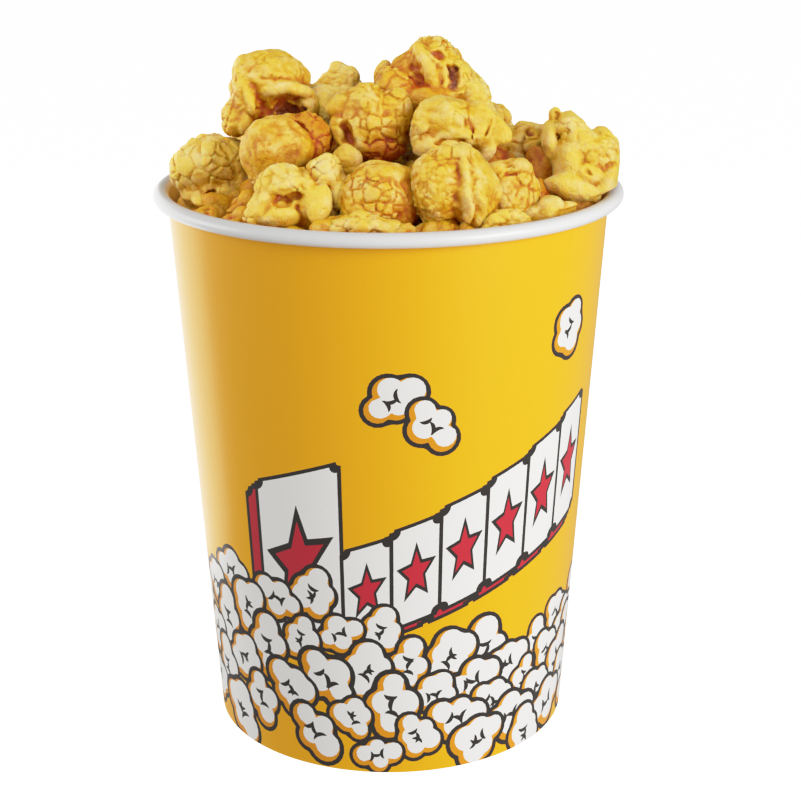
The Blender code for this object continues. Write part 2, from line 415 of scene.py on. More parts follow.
@dataclass(frozen=True)
class TubShape:
    """The board cone's sizes in millimetres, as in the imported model, and the faces they make."""

    rim_radius: float = 59.0
    neck_radius: float = 55.4
    base_radius: float = 46.1
    board: float = 0.5
    roll_height: float = 3.6
    roll_from: float = 180.0
    roll_to: float = -120.0
    roll_steps: int = 30
    seam_angle: float = 90.0
    seam_half: float = 5.625
    seam_ramp: float = 16.875
    seam_top: float = 136.0
    hem_height: float = 8.7
    columns: int = 192

    @property
    def neck_height(self) -> float:
        """Height at which the wall turns into the rim."""
        return RIM_TOP - self.roll_height / 2.0

    @property
    def lap_end(self) -> float:
        """Angle in degrees at which the outer end of the board stops."""
        return self.seam_angle + self.seam_half

    def wall_radius(self, height: Any) -> Any:
        """Outside radius of the plain wall at a height or at many heights."""
        return self.base_radius + (self.neck_radius - self.base_radius) * height / self.neck_height

    def lift(self, degrees: Any) -> Any:
        """How far the outer face stands out where the outer end of the board climbs over the inner one.

        Args:
            degrees: Angles in degrees, counted from where the outer end stops.

        Returns:
            The lift in millimetres for each angle.
        """
        climb_from = 360.0 - 2.0 * self.seam_half - self.seam_ramp
        return self.board * np.clip((np.asarray(degrees) - climb_from) / self.seam_ramp, 0.0, 1.0)

    def roll(self, half_width: float, half_height: float) -> list[Pair]:
        """Points of the rolled rim's section, from the neck over the top and down the outside.

        Args:
            half_width: Half the roll's width.
            half_height: Half its height.

        Returns:
            The points as radius and height.
        """
        middle = (self.neck_radius - self.board + self.rim_radius) / 2.0
        points = []
        for step in range(self.roll_steps + 1):
            share = step / self.roll_steps
            angle = math.radians(self.roll_from + (self.roll_to - self.roll_from) * share)
            height = self.neck_height + half_height * math.sin(angle)
            points.append((middle + half_width * math.cos(angle), height))
        return points

    def section(self, outer: float, inner: float, printed: float) -> list[Pair]:
        """The wall's closed section as radius and height.

        Args:
            outer: Shift of the outer face.
            inner: Shift of the inner face.
            printed: How far the outer face is held back for the print.

        Returns:
            The section's points.
        """
        half_width = (self.rim_radius - self.neck_radius + self.board) / 2.0
        half_height = self.roll_height / 2.0
        hem_inside = self.base_radius - 2.0 * self.board - GAP
        section = [
            (hem_inside, 0.0),
            (self.base_radius + outer - printed, 0.0),
            (self.wall_radius(self.seam_top) + outer - printed, self.seam_top),
        ]
        section += self.roll(half_width - self.board, half_height - self.board)
        section += reversed(self.roll(half_width, half_height))
        section += [
            (self.wall_radius(self.seam_top) - self.board + inner, self.seam_top),
            (self.wall_radius(self.hem_height) - self.board + inner, self.hem_height),
            (hem_inside + self.wall_radius(self.hem_height) - self.base_radius, self.hem_height),
        ]
        return section


@dataclass
class BoardShell:
    """The tub's white board: its rolled rim, inside, hem and cut edges."""

    shape: TubShape = field(default_factory=TubShape)
    print_thickness: float = 0.08
    seam_edge: float = 0.05  # degrees between the two rims of a cut end
    inside_strips: tuple[int, int] = (-10, -3)  # the section's strips on the inside that get the painted warm light, from its end
    finish: CoatedBoard = field(
        default_factory=lambda: CoatedBoard("white_coated_board", "#eae9e8", 0.38, 0.35)
    )
    # Painted light: the inside wall and the roll's underside are golden, standing in for warm light falling
    # there.
    inside: CoatedBoard = field(
        default_factory=lambda: CoatedBoard("inside_board_painted_warm_light", "#fbdc98", 0.34, 0.20)
    )

    def build(self) -> bpy.types.Object:
        """Turn the section round the axis, with the steps of the glued seam.

        Returns:
            The board's piece.
        """
        rings = [
            [
                (radius * math.cos(angle), radius * math.sin(angle), height)
                for radius, height in self.shape.section(outer, inner, self.print_thickness)
            ]
            for angle, outer, inner in self.columns()
        ]
        count, around = len(rings[0]), len(rings)
        faces = [
            (ring * count + point, after * count + point, after * count + beyond, ring * count + beyond)
            for ring, after in ((ring, (ring + 1) % around) for ring in range(around))
            for point, beyond in ((point, (point + 1) % count) for point in range(count))
        ]
        points = np.array(rings).reshape(-1, 3)
        first, last = (count + strip for strip in self.inside_strips)
        warm_lit_faces = [int(first <= index % count <= last) for index in range(len(faces))]
        materials = [self.finish.material(), self.inside.material()]
        piece = mesh_object("tub_board", points, np.array(faces), materials, np.array(warm_lit_faces))
        piece.data.set_sharp_from_angle(angle=math.radians(40.0))
        return piece

    def columns(self) -> list[Triple]:
        """The columns of faces round the wall, with the glued seam's steps between them.

        Returns:
            Angle in radians, and shift of the outer and the inner face, for each column.
        """
        shape = self.shape
        inner_end = shape.seam_angle - shape.seam_half
        columns: list[Triple] = []
        for index in range(shape.columns):
            degrees = shape.lap_end + 360.0 * (index + 0.5) / shape.columns
            lift = float(shape.lift(degrees - shape.lap_end))
            under_lap = degrees - 360.0 > inner_end
            columns.append((degrees, lift, 0.0 if under_lap else lift))
        ends = (
            (shape.lap_end, (shape.board, 0.0), (0.0, 0.0)),
            (inner_end, (shape.board, shape.board), (shape.board, 0.0)),
        )
        for place, before, after in ends:
            columns.append((place + 360.0 - self.seam_edge, *before))
            columns.append((place + 360.0 + self.seam_edge, *after))
        return [(math.radians(degrees), outer, inner) for degrees, outer, inner in sorted(columns)]


class Ink(Enum):
    """The print's inks, by hex colour."""

    YELLOW = "#f8b50a"
    WHITE = "#f4f2ee"
    DARK = "#37322f"
    RED = "#c9303f"
    ORANGE = "#e79a17"


@dataclass(frozen=True)
class Shape:
    """One printed shape: its outline in the flat sheet, in millimetres, and its ink."""

    outline: list[Pair]
    ink: Ink


def arc(middle: Pair, radius: float, start: float, end: float, steps: int) -> list[Pair]:
    """Points along an arc, with angles in degrees."""
    angles = [math.radians(start + (end - start) * step / steps) for step in range(steps + 1)]
    return [(middle[0] + radius * math.cos(a), middle[1] + radius * math.sin(a)) for a in angles]


def stroke(middle: Pair, radius: float, start: float, end: float, width: float) -> list[Pair]:
    """A short curved pen stroke that swells in its middle and runs out at its ends.

    Args:
        middle: Middle of the curve's circle.
        radius: The circle's radius.
        start: Where the stroke begins, in degrees.
        end: Where it ends, in degrees.
        width: How wide it is where it is widest.

    Returns:
        The stroke's outline.
    """
    steps = 7
    outer, inner = [], []
    for step in range(steps + 1):
        angle = math.radians(start + (end - start) * step / steps)
        half = 0.5 * width * math.sin(math.pi * (step + 0.35) / (steps + 0.7))
        for side, points in ((1.0, outer), (-1.0, inner)):
            away = radius + side * half
            points.append((middle[0] + away * math.cos(angle), middle[1] + away * math.sin(angle)))
    return outer + inner[::-1]


def clipped(outline: Sequence[Pair], axis: int, limit: float, side: float) -> list[Pair]:
    """Cut a closed outline off at a straight line across one axis.

    Args:
        outline: The outline's points.
        axis: 0 for a limit along the sheet, 1 for a limit in height.
        limit: Where the line lies.
        side: 1.0 keeps what lies above the limit, -1.0 what lies below.

    Returns:
        What is left of the outline, which may be nothing.
    """
    kept = []
    for start, end in zip(outline, [*outline[1:], outline[0]]):
        before, after = side * (start[axis] - limit), side * (end[axis] - limit)
        if before >= 0.0:
            kept.append(start)
        if before * after < 0.0:
            share = before / (before - after)
            kept.append(tuple(a + share * (b - a) for a, b in zip(start, end)))
    return kept


@dataclass(frozen=True)
class Puff:
    """A plain drawn puff of corn: a few round lobes round a middle."""

    middle: Pair
    size: float
    turn: float
    seed: int
    spread: float = 0.50  # how far out the lobes lie, as all shares here, against the puff's size
    long: float = 0.34  # how much farther they lie along the puff than across it
    line: float = 0.17
    inset: float = 0.10
    offset: Pair = (0.09, 0.10)  # of the white, which leaves a crescent of shade
    curls: int = 3
    curl_arc: Pair = (-62.0, 40.0)
    curl_width: float = 0.16

    def lobes(self) -> list[Triple]:
        """The lobes round the puff's middle.

        Returns:
            Distance, angle and radius of each lobe, in millimetres and radians.
        """
        draws = np.random.default_rng(self.seed)
        count = 4 + self.seed % 2
        lobes = []
        for index in range(count):
            angle = self.turn + TURN * (index + draws.uniform(-0.16, 0.16)) / count
            stretch = 1.0 + self.long * math.cos(2.0 * (angle - self.turn))
            lobes.append((self.spread * self.size * stretch, angle, self.size * draws.uniform(0.44, 0.60)))
        return lobes

    def outline(self, grown: float, shift: Pair = (0.0, 0.0), steps: int = 36) -> list[Pair]:
        """The lobes' common outline.

        Args:
            grown: How much wider than the lobes it runs, as a share of the puff's size.
            shift: How far it is moved, in the same way.
            steps: How many points it has.

        Returns:
            The outline's points.
        """
        points = []
        for step in range(steps):
            angle = TURN * step / steps
            reach = 0.35 * self.size
            for away, toward, radius in self.lobes():
                off = away * math.sin(angle - toward)
                wide = radius + grown * self.size
                if abs(off) < wide and math.cos(angle - toward) > -0.2:
                    reach = max(reach, away * math.cos(angle - toward) + math.sqrt(wide**2 - off**2))
            x = self.middle[0] + shift[0] * self.size + reach * math.cos(angle)
            points.append((x, self.middle[1] + shift[1] * self.size + reach * math.sin(angle)))
        return points

    def shapes(self) -> list[Shape]:
        """The puff's printed shapes.

        Returns:
            The shapes, from the lowest up.
        """
        made = [
            Shape(self.outline(self.line), Ink.DARK),
            Shape(self.outline(0.0), Ink.ORANGE),
            Shape(self.outline(-self.inset, self.offset), Ink.WHITE),
        ]
        for away, toward, radius in self.lobes()[: self.curls]:
            middle = (
                self.middle[0] + 0.80 * away * math.cos(toward),
                self.middle[1] + 0.80 * away * math.sin(toward),
            )
            start, end = (math.degrees(toward) + 180.0 + turn for turn in self.curl_arc)
            curl = stroke(middle, 0.62 * radius, start, end, self.curl_width * self.size)
            made.append(Shape(curl, Ink.DARK))
        return made


@dataclass(frozen=True)
class Banner:
    """A rising row of admission tickets with red stars, over a red drop to their lower left."""

    middle: float  # where its low end starts along the sheet
    slope: float = 0.36
    outline: float = 1.0
    drop: Pair = (-3.6, -3.0)
    first: Triple = (34.0, 22.0, 46.0)  # base, width and height of the big ticket
    others: Triple = (36.6, 11.4, 24.0)  # the same of the next one, before the row rises
    count: int = 6
    gap: float = 0.9
    narrower: float = 0.15  # from one ticket to the next
    taller: float = 1.3
    scoop: float = 0.16  # the scooped corner's radius, against a ticket's width

    def tickets(self) -> list[tuple[float, float, float, float]]:
        """The big ticket and the rising row after it.

        Returns:
            Middle, base, width and height of each ticket.
        """
        rows = [(self.middle, *self.first)]
        start = self.middle + self.first[1] / 2.0
        base, wide, tall = self.others
        place = start
        for index in range(self.count):
            width = wide - self.narrower * index
            place += width / 2.0 + self.gap
            rows.append((place, base + self.slope * (place - start), width, tall + self.taller * index))
            place += width / 2.0
        return rows

    def ticket(
        self, row: tuple[float, float, float, float], grown: float, shift: Pair = (0.0, 0.0)
    ) -> list[Pair]:
        """One ticket's outline with scooped corners, sheared along the rising row.

        Args:
            row: Middle, base, width and height of the ticket.
            grown: How much bigger than the ticket the outline is.
            shift: How far it is moved.

        Returns:
            The outline's points.
        """
        across, base, width, height = row
        scoop = self.scoop * self.others[1] - 0.6 * grown
        right, low, high = width / 2.0 + grown, -grown, height + grown
        corners = ((right, high, 270.0), (-right, high, 360.0), (-right, low, 90.0), (right, low, 180.0))
        points = []
        for x, y, start in corners:
            points += arc((x, y), scoop, start, start - 90.0, 6)
        return [(across + shift[0] + x, base + shift[1] + y + self.slope * x) for x, y in points]

    def star(self, row: tuple[float, float, float, float], share: float) -> list[Pair]:
        """The five-pointed star on a ticket, as tall as the ticket's shape stretches it.

        Args:
            row: Middle, base, width and height of the ticket.
            share: The star's width against the ticket's.

        Returns:
            The star's points.
        """
        across, base, width, height = row
        points = []
        for tip in range(10):
            away = share * (1.0, 0.46)[tip % 2]
            angle = math.radians(90.0 + 36.0 * tip)
            x = 0.5 * width * away * math.cos(angle)
            y = 0.36 * height * away * math.sin(angle)
            points.append((across + x, base + height / 2.0 + y + self.slope * x))
        return points

    def shapes(self) -> list[Shape]:
        """The banner's printed shapes.

        Returns:
            The shapes, from the lowest up.
        """
        made = []
        for grown, ink in ((self.outline, Ink.DARK), (0.0, Ink.RED)):
            for row, share in product(self.tickets(), (1.0, 0.66, 0.33)):
                moved = (self.drop[0] * share, self.drop[1] * share)
                made.append(Shape(self.ticket(row, grown, moved), ink))
        for row in self.tickets():
            made.append(Shape(self.ticket(row, self.outline), Ink.DARK))
            made.append(Shape(self.ticket(row, 0.0), Ink.WHITE))
            made.append(Shape(self.star(row, 0.92), Ink.DARK))
            made.append(Shape(self.star(row, 0.66), Ink.RED))
        return made


@dataclass
class PrintedSheet:
    """The ink on the wall: flat fields cut along the drawn outlines and wrapped round the cone."""

    shape: TubShape = field(default_factory=TubShape)
    thickness: float = 0.08
    flat_radius: float = 50.75
    strips: int = 144
    bands: int = 10
    margin: float = 0.6  # bare board between the sheet and the rim
    trim: float = 0.05  # bare margin at the sheet's cut edges
    banner_start: float = -23.5  # from the front's middle
    puffs: int = 104
    puff_sizes: Pair = (5.8, 8.2)
    puff_top: Pair = (40.0, 10.0)  # height of the heap of puffs, and how far that swells and sinks
    crest: float = -38.0  # where the heap of puffs is highest, from the front's middle
    flying: tuple[Triple, ...] = ((0.5, 101.0, 0.5), (9.5, 94.0, 2.1), (48.0, 112.0, 1.2))
    flying_size: float = 6.4

    @property
    def width(self) -> float:
        """Length of the flat sheet round the tub."""
        return TURN * self.flat_radius

    def artwork(self) -> list[Shape]:
        """Everything that is printed, at its place on the flat sheet.

        Returns:
            The shapes, from the lowest up.
        """
        front = (270.0 - self.shape.lap_end) / 360.0 * self.width
        sides = (0.0, self.width / 2.0)  # the front, and the same again behind
        made = []
        for side in sides:
            made += Banner(front + side + self.banner_start).shapes()
        draws = np.random.default_rng(5)
        order = []
        for index in range(self.puffs):
            across = (index * 0.61803 % 1.0) * self.width
            swell = math.cos(2.0 * TURN * (across - front - self.crest) / self.width)
            ragged = self.puff_top[0] + self.puff_top[1] * swell
            height = ragged * ((index + 0.5) / self.puffs) ** 0.85 + 2.0
            order.append((height, across, draws.uniform(*self.puff_sizes), draws.uniform(0.0, TURN), index))
        for height, across, size, turn, index in sorted(order, reverse=True):
            made += Puff((across, height), size, turn, index).shapes()
        for (across, height, turn), side in product(self.flying, sides):
            place = ((front + across + side) % self.width, height)
            made += Puff(place, self.flying_size, turn, round(across * 2) + 7).shapes()
        return made

    def build(self) -> bpy.types.Object:
        """Cut the flat sheet along all outlines, wrap it round the wall and close it at its edges.

        Returns:
            The print's piece, with one material for each ink.
        """
        top = self.shape.neck_height - self.margin
        sheet = [(0.0, 0.0), (self.width, 0.0), (self.width, top), (0.0, top)]
        shapes = [Shape(sheet, Ink.YELLOW)]
        trims = ((0, self.trim, 1.0), (0, self.width - self.trim, -1.0), (1, self.trim, 1.0))
        for drawn, moved in product(self.artwork(), (-self.width, 0.0, self.width)):
            inside = [(x + moved, y) for x, y in drawn.outline]
            for axis, limit, side in trims:
                inside = clipped(inside, axis, limit, side) if inside else inside
            if len(inside) > 2:
                shapes.append(Shape(inside, drawn.ink))
        places: list[Vector] = []
        loops = []
        for drawn in shapes:
            loops.append(list(range(len(places), len(places) + len(drawn.outline))))
            places += [Vector(point) for point in drawn.outline]
        lines = [((x, 0.0), (x, top)) for x in (self.width * n / self.strips for n in range(1, self.strips))]
        heights = [top * index / self.bands for index in range(1, self.bands)] + [self.shape.seam_top]
        lines += [((0.0, height), (self.width, height)) for height in heights]
        edges = []
        for start, end in lines:
            edges.append((len(places), len(places) + 1))
            places += [Vector(start), Vector(end)]
        flat, _, faces, _, _, sources = delaunay_2d_cdt(places, edges, loops, 1, 1e-4)
        ink_list = list(Ink)
        slots = [ink_list.index(shapes[max(source)].ink) if source else 0 for source in sources]
        return self.wrapped(np.array([tuple(point) for point in flat]), np.array(faces), slots)

    def wrapped(self, flat: np.ndarray, faces: np.ndarray, slots: Sequence[int]) -> bpy.types.Object:
        """Wrap the flat sheet round the cone as a thin closed skin.

        Args:
            flat: Flat places in millimetres.
            faces: Triangles of the sheet.
            slots: The ink of each triangle.

        Returns:
            The print's piece.
        """
        degrees = 360.0 * flat[:, 0] / self.width
        height = flat[:, 1]
        neck = self.shape.neck_height
        eased = np.clip((neck - height) / (neck - self.shape.seam_top), 0.0, 1.0)
        radius = self.shape.wall_radius(height) + self.shape.lift(degrees) * eased
        angle = np.radians(degrees + self.shape.lap_end)
        skins = [
            np.stack([away * np.cos(angle), away * np.sin(angle), height], axis=1)
            for away in (radius, radius - self.thickness)
        ]
        count = len(flat)
        ring = np.concatenate([faces[:, [0, 1]], faces[:, [1, 2]], faces[:, [2, 0]]])
        known = {(int(a), int(b)) for a, b in ring}
        after = {a: b for a, b in known if (b, a) not in known}
        border = [min(after)]
        while after[border[-1]] != border[0]:
            border.append(after[border[-1]])
        backing = self.backing(flat[border])
        edge, beyond = np.array(border), np.roll(border, -1)
        inner = count + np.arange(len(border))
        inner_beyond = np.roll(inner, -1)
        rim = [np.stack([beyond, edge, inner], axis=1), np.stack([beyond, inner, inner_beyond], axis=1)]
        every = np.concatenate([faces, backing + count] + rim)
        materials = [
            CoatedBoard(f"{ink.name.lower()}_ink_on_board", ink.value, shine=0.28).material() for ink in Ink
        ]
        face_slots = np.concatenate([slots, np.zeros(len(every) - len(slots), int)])
        places = np.concatenate([skins[0], skins[1][border]])
        piece = mesh_object("tub_print", places, every, materials, face_slots)
        slant = math.atan2(self.shape.neck_radius - self.shape.base_radius, self.shape.neck_height)
        outward = np.stack(
            [np.cos(angle), np.sin(angle), np.full(count, -math.tan(slant))], axis=1
        ) * math.cos(slant)
        normals = np.concatenate([outward, -outward[border]])
        piece.data.normals_split_custom_set_from_vertices(normals)
        return piece

    def backing(self, border: np.ndarray) -> np.ndarray:
        """Fill the sheet's border from behind, strip by strip, facing the tub's axis.

        Args:
            border: Flat places round the sheet's border, in order.

        Returns:
            Triangles of the border's places.
        """
        top = border[:, 1].max()
        strips = []
        for index in range(1, self.strips):
            across = border[:, 0] - self.width * index / self.strips
            strips.append([int(np.hypot(across, border[:, 1] - y).argmin()) for y in (0.0, top)])
        loop = list(range(len(border)))
        places = [Vector(place) for place in border]
        _, _, faces, sources, _, _ = delaunay_2d_cdt(places, strips, [loop], 1, 1e-4)
        return np.array([[sources[corner][0] for corner in face[::-1]] for face in faces])


# ---------------------------------------------------------------------------------------------------
# Popped kernels
# ---------------------------------------------------------------------------------------------------


class Skin(Enum):
    """How the flake's surface broke up as it popped."""

    SMOOTH = "smooth"
    CRACKED = "cracked"
    BLOCKY = "blocky"
    GRAINY = "grainy"
    FOLDED = "folded"


class Kind(Enum):
    """How a kernel opened as it popped, which names the piece that it is joined into."""

    MUSHROOM = "mushroom_kernels"
    BUTTERFLY = "butterfly_kernels"
    TORN = "torn_kernels"
    BURIED = "buried_kernels"
    REAR = "rear_kernels"
    BEDDED = "bedded_kernels"


@dataclass(frozen=True)
class Relief:
    """Plates with cracks between them, in millimetres: plates lie flat, at slightly unequal heights."""

    cell: Triple  # a plate's size
    jitter: float  # how far plates stray from a grid, from 0 to 1
    groove: float  # a crack's half width
    depth: float  # a crack's depth
    step: float  # how unequal the plates' heights are
    uneven: float  # how much of the skin's broad unevenness it has


RELIEFS = {
    Skin.SMOOTH: Relief((7.5, 7.5, 7.5), 0.9, 0.30, 0.16, 0.10, 0.7),
    Skin.CRACKED: Relief((4.4, 3.6, 4.2), 0.80, 0.34, 0.55, 0.46, 0.7),
    Skin.BLOCKY: Relief((3.1, 2.7, 3.0), 0.50, 0.33, 0.55, 0.34, 0.5),
    Skin.GRAINY: Relief((2.1, 1.8, 2.0), 0.90, 0.34, 0.38, 0.40, 0.8),
    Skin.FOLDED: Relief((2.6, 9.0, 3.0), 0.80, 0.40, 0.42, 0.22, 1.0),
}


@dataclass(frozen=True)
class Lobe:
    """One rounded mass of flake: middle and half size, both as (across, up, out)."""

    at: Triple
    half: Triple
    skin: Skin = Skin.SMOOTH
    roll: float = 0.0  # degrees, about the axis that points out
    tip: float = 0.0  # degrees, about the axis across
    swing: float = 0.0  # degrees, about the axis up
    tone: float = 0.0  # above 0 is deeper in colour


@dataclass(frozen=True)
class Hollow:
    """A pit or slit in the flake, with the share of brown hull on its floor."""

    at: Triple
    half: Triple
    roll: float = 0.0
    tip: float = 0.0
    swing: float = 0.0
    hull: float = 0.0  # from 0 to 1


@dataclass(frozen=True)
class Kernel:
    """A popped kernel: where its middle lies over the rim's top, and what it is made of."""

    name: str
    kind: Kind
    at: Triple
    lobes: tuple[Lobe, ...]
    hollows: tuple[Hollow, ...] = ()
    facing: Triple = (-20.0, 0.0, 0.0)  # degrees about x, y and z
    tone: float = 0.0
    seed: int = 1


@dataclass
class KernelMesh:
    """A sculpted kernel: places in millimetres, four-cornered faces and what colours each place."""

    points: np.ndarray
    faces: np.ndarray
    cavity: np.ndarray
    hull: np.ndarray
    tone: np.ndarray


SCATTER = 2048  # how many cells have a scatter of their own, a power of two
PRIMES = (73856093, 19349663, 83492791)  # they mix a cell's three numbers


def waves(points: np.ndarray, length: float, seed: int) -> np.ndarray:
    """Smooth unevenness between about -1 and 1, from crossing waves.

    Args:
        points: Places, one row each.
        length: Wave length, in the places' own unit.
        seed: Picks the waves' directions.

    Returns:
        One value for each place.
    """
    draws = np.random.default_rng(seed)
    directions = draws.normal(size=(6, 3))
    directions /= np.linalg.norm(directions, axis=1)[:, None]
    lengths = length * draws.uniform(0.75, 1.35, 6)
    phases = draws.uniform(0.0, TURN, 6)
    angles = points @ (directions * (TURN / lengths)[:, None]).T.astype(np.float32) + phases
    return np.sin(angles).sum(axis=1) / 3.0


def cell_distances(
    points: np.ndarray, cell: Triple, jitter: float, seed: int
) -> tuple[np.ndarray, np.ndarray]:
    """How far places are from the border between scattered cells, and how high their cells stand.

    Args:
        points: Places, one row each.
        cell: Size of a cell along each axis.
        jitter: How far middles stray from a regular grid, from 0 to 1.
        seed: Picks the scatter.

    Returns:
        The distance from the border in millimetres, and a height from -0.5 to 0.5.
    """
    strays = np.random.default_rng(seed).random((SCATTER, 3)).astype(np.float32) - 0.5
    scaled_points = (points / np.array(cell)).astype(np.float32)
    base = np.floor(scaled_points).astype(np.int64)
    nearest, second = (np.full(len(points), 9.0, dtype=np.float32) for _ in range(2))
    height, next_height = (np.zeros(len(points), dtype=np.float32) for _ in range(2))
    for offset in product((-1, 0, 1), repeat=3):
        place = base + np.array(offset)
        mixed = place * np.array(PRIMES)
        stray = strays[(mixed[:, 0] ^ mixed[:, 1] ^ mixed[:, 2]) & (SCATTER - 1)]
        away = np.sqrt(((scaled_points - place - 0.5 - jitter * stray) ** 2).sum(axis=1))
        mark = stray[:, 0] + stray[:, 1]
        closer, closest = away < second, away < nearest
        second = np.where(closest, nearest, np.where(closer, away, second))
        next_height = np.where(closest, height, np.where(closer, mark, next_height))
        nearest = np.where(closest, away, nearest)
        height = np.where(closest, mark, height)
    border = (second - nearest) * min(cell)
    shared = 0.5 * np.clip(1.0 - border / 0.5, 0.0, 1.0)
    return border, height + (next_height - height) * shared


@dataclass
class Sculptor:
    """Carves kernels out of distance fields, and skins them with four-cornered faces.

    Waves that bend the masses, tear the hollows' edges, warp the plates or roughen the skin are given
    as how far, how long and which.
    """

    voxel: float
    blend: float = 0.9  # width of the rounding where masses meet
    band: float = 2.4  # how far from the rough surface the fine one is worked out
    margin: float = 1.3
    bends: tuple[tuple[float, float, int], ...] = ((0.45, 9.0, 31), (0.10, 3.6, 34))
    tears: tuple[tuple[float, float, int], ...] = ((0.55, 3.6, 41), (0.2, 1.6, 44))
    warp: tuple[float, float, int] = (0.4, 4.5, 11)
    roughness: tuple[tuple[float, float, int], ...] = ((0.26, 7.0, 21), (0.11, 2.7, 22), (0.07, 1.4, 23))
    mingling: float = 0.45  # how softly one mass's skin and tone pass into the next's
    calm: float = 0.9  # how near a hollow's edge the plates begin to fade
    hull_depth: Pair = (0.5, 1.2)  # how deep in a hollow the hull begins, and over what it is whole
    hull_width: float = 0.8  # how far off a hollow's floor it ends

    @staticmethod
    def axes(part: Lobe | Hollow) -> np.ndarray:
        """Rotation from a part's own axes to the kernel's."""
        turned = Euler([math.radians(a) for a in (-part.tip, -part.roll, part.swing)], "XYZ")
        return np.array(turned.to_matrix(), dtype=np.float32)

    @staticmethod
    def own(values: Triple) -> np.ndarray:
        """(across, up, out) as the kernel's x, y and z: it faces along -y."""
        return np.array((values[0], -values[2], values[1]), dtype=np.float32)

    def distance(self, part: Lobe | Hollow, points: np.ndarray) -> np.ndarray:
        """Nearly the distance from each place to an ellipsoid, below 0 inside it.

        Args:
            part: The lobe or hollow.
            points: Places, one row each.

        Returns:
            The distance in millimetres for each place.
        """
        half = np.abs(self.own(part.half))
        local = (points - self.own(part.at)) @ self.axes(part)
        scaled = local / half
        near = np.sqrt((scaled * scaled).sum(axis=1)) + 1e-6
        steep = np.sqrt(((scaled / half) ** 2).sum(axis=1)) + 1e-6
        return near * (near - 1.0) / steep

    def join(self, first: np.ndarray, second: np.ndarray) -> np.ndarray:
        """The nearer of two distances, rounded where they meet."""
        share = np.clip(0.5 + 0.5 * (second - first) / self.blend, 0.0, 1.0)
        return second + (first - second) * share - self.blend * share * (1.0 - share)

    def rough_field(
        self, kernel: Kernel, points: np.ndarray, torn: np.ndarray | None = None
    ) -> tuple[np.ndarray, np.ndarray]:
        """Distance field of a kernel's masses, without and with its hollows.

        Args:
            kernel: The kernel.
            points: Places, one row each.
            torn: The places as the hollows see them, or None for the same.

        Returns:
            The distance to the masses, and the distance with the hollows cut.
        """
        solid = self.distance(kernel.lobes[0], points)
        for lobe in kernel.lobes[1:]:
            solid = self.join(solid, self.distance(lobe, points))
        cut = solid
        for hollow in kernel.hollows:
            cut = -self.join(-cut, self.distance(hollow, points if torn is None else torn))
        return solid, cut

    @staticmethod
    def shaken(kernel: Kernel, points: np.ndarray, *bends: tuple[float, float, int]) -> np.ndarray:
        """Move places about by waves.

        Args:
            kernel: The kernel that picks the waves.
            points: Places, one row each.
            bends: How far, how long and which, for each wave.

        Returns:
            The moved places.
        """
        moved = points.copy()
        for far, length, shift in bends:
            for axis in range(3):
                moved[:, axis] += far * waves(points, length, kernel.seed + shift + axis)
        return moved

    def relief(self, kernel: Kernel, points: np.ndarray) -> tuple[np.ndarray, np.ndarray]:
        """Depth of the fine surface under the rough one, and how deep in colour it is.

        Args:
            kernel: The kernel.
            points: Places near its surface, one row each.

        Returns:
            The depth in millimetres and the tone, for each place.
        """
        away = np.stack([self.distance(lobe, points) for lobe in kernel.lobes])
        weights = np.exp(-(away - away.min(axis=0)) / self.mingling)
        weights /= weights.sum(axis=0)
        tone = np.tensordot(np.array([lobe.tone for lobe in kernel.lobes]), weights, 1)
        warped = self.shaken(kernel, points, self.warp)
        rough = (far * waves(points, length, kernel.seed + shift) for far, length, shift in self.roughness)
        uneven = sum(rough)
        depth = np.zeros(len(points))
        for skin, cut in RELIEFS.items():
            share = sum(
                (weights[row] for row, lobe in enumerate(kernel.lobes) if lobe.skin is skin),
                start=np.zeros(len(points)),
            )
            used = share > 0.02
            if not used.any():
                continue
            border, height = cell_distances(warped[used], cut.cell, cut.jitter, kernel.seed)
            cracks = cut.depth * np.exp(-((border / cut.groove) ** 2))
            depth[used] += share[used] * (cracks - cut.step * height + cut.uneven * uneven[used])
        for hollow in kernel.hollows:
            depth *= np.clip(np.abs(self.distance(hollow, points)) / self.calm, 0.25, 1.0)
        return depth, tone

    def sculpt(self, kernel: Kernel) -> KernelMesh:
        """Carve one kernel and place it over the rim.

        Args:
            kernel: What to carve.

        Returns:
            The kernel's mesh, in the object's own frame.
        """
        reach = np.stack([np.full(3, max(lobe.half)) for lobe in kernel.lobes])
        reach = np.minimum(reach, np.stack([self.reach(lobe) for lobe in kernel.lobes]))
        middles = np.stack([self.own(lobe.at) for lobe in kernel.lobes])
        low = (middles - reach).min(axis=0) - self.margin
        high = (middles + reach).max(axis=0) + self.margin
        counts = np.ceil((high - low) / self.voxel).astype(int) + 1
        ticks = [low[axis] + self.voxel * np.arange(counts[axis]) for axis in range(3)]
        grid = np.stack(np.meshgrid(*ticks, indexing="ij"), axis=-1).reshape(-1, 3)
        grid = grid.astype(np.float32)
        distances = self.rough_field(kernel, grid)[1]
        near = np.abs(distances) < self.band
        bent = self.shaken(kernel, grid[near], *self.bends)
        torn = self.shaken(kernel, bent, *self.tears)
        distances[near] = self.rough_field(kernel, bent, torn)[1] + self.relief(kernel, bent)[0]
        points, faces = surface_net(distances.reshape(counts))
        points = (low + points * self.voxel).astype(np.float32)
        bent = self.shaken(kernel, points, *self.bends)
        torn = self.shaken(kernel, bent, *self.tears)
        tone = self.relief(kernel, bent)[1] + kernel.tone
        hull = self.hull(kernel, bent, torn)
        cavity = cavity_of(points, faces)
        turned = Euler([math.radians(angle) for angle in kernel.facing], "XYZ").to_matrix()
        placed = points @ np.array(turned).T + np.array(kernel.at)
        placed[:, 2] += RIM_TOP
        return KernelMesh(placed, faces, cavity, hull, tone)

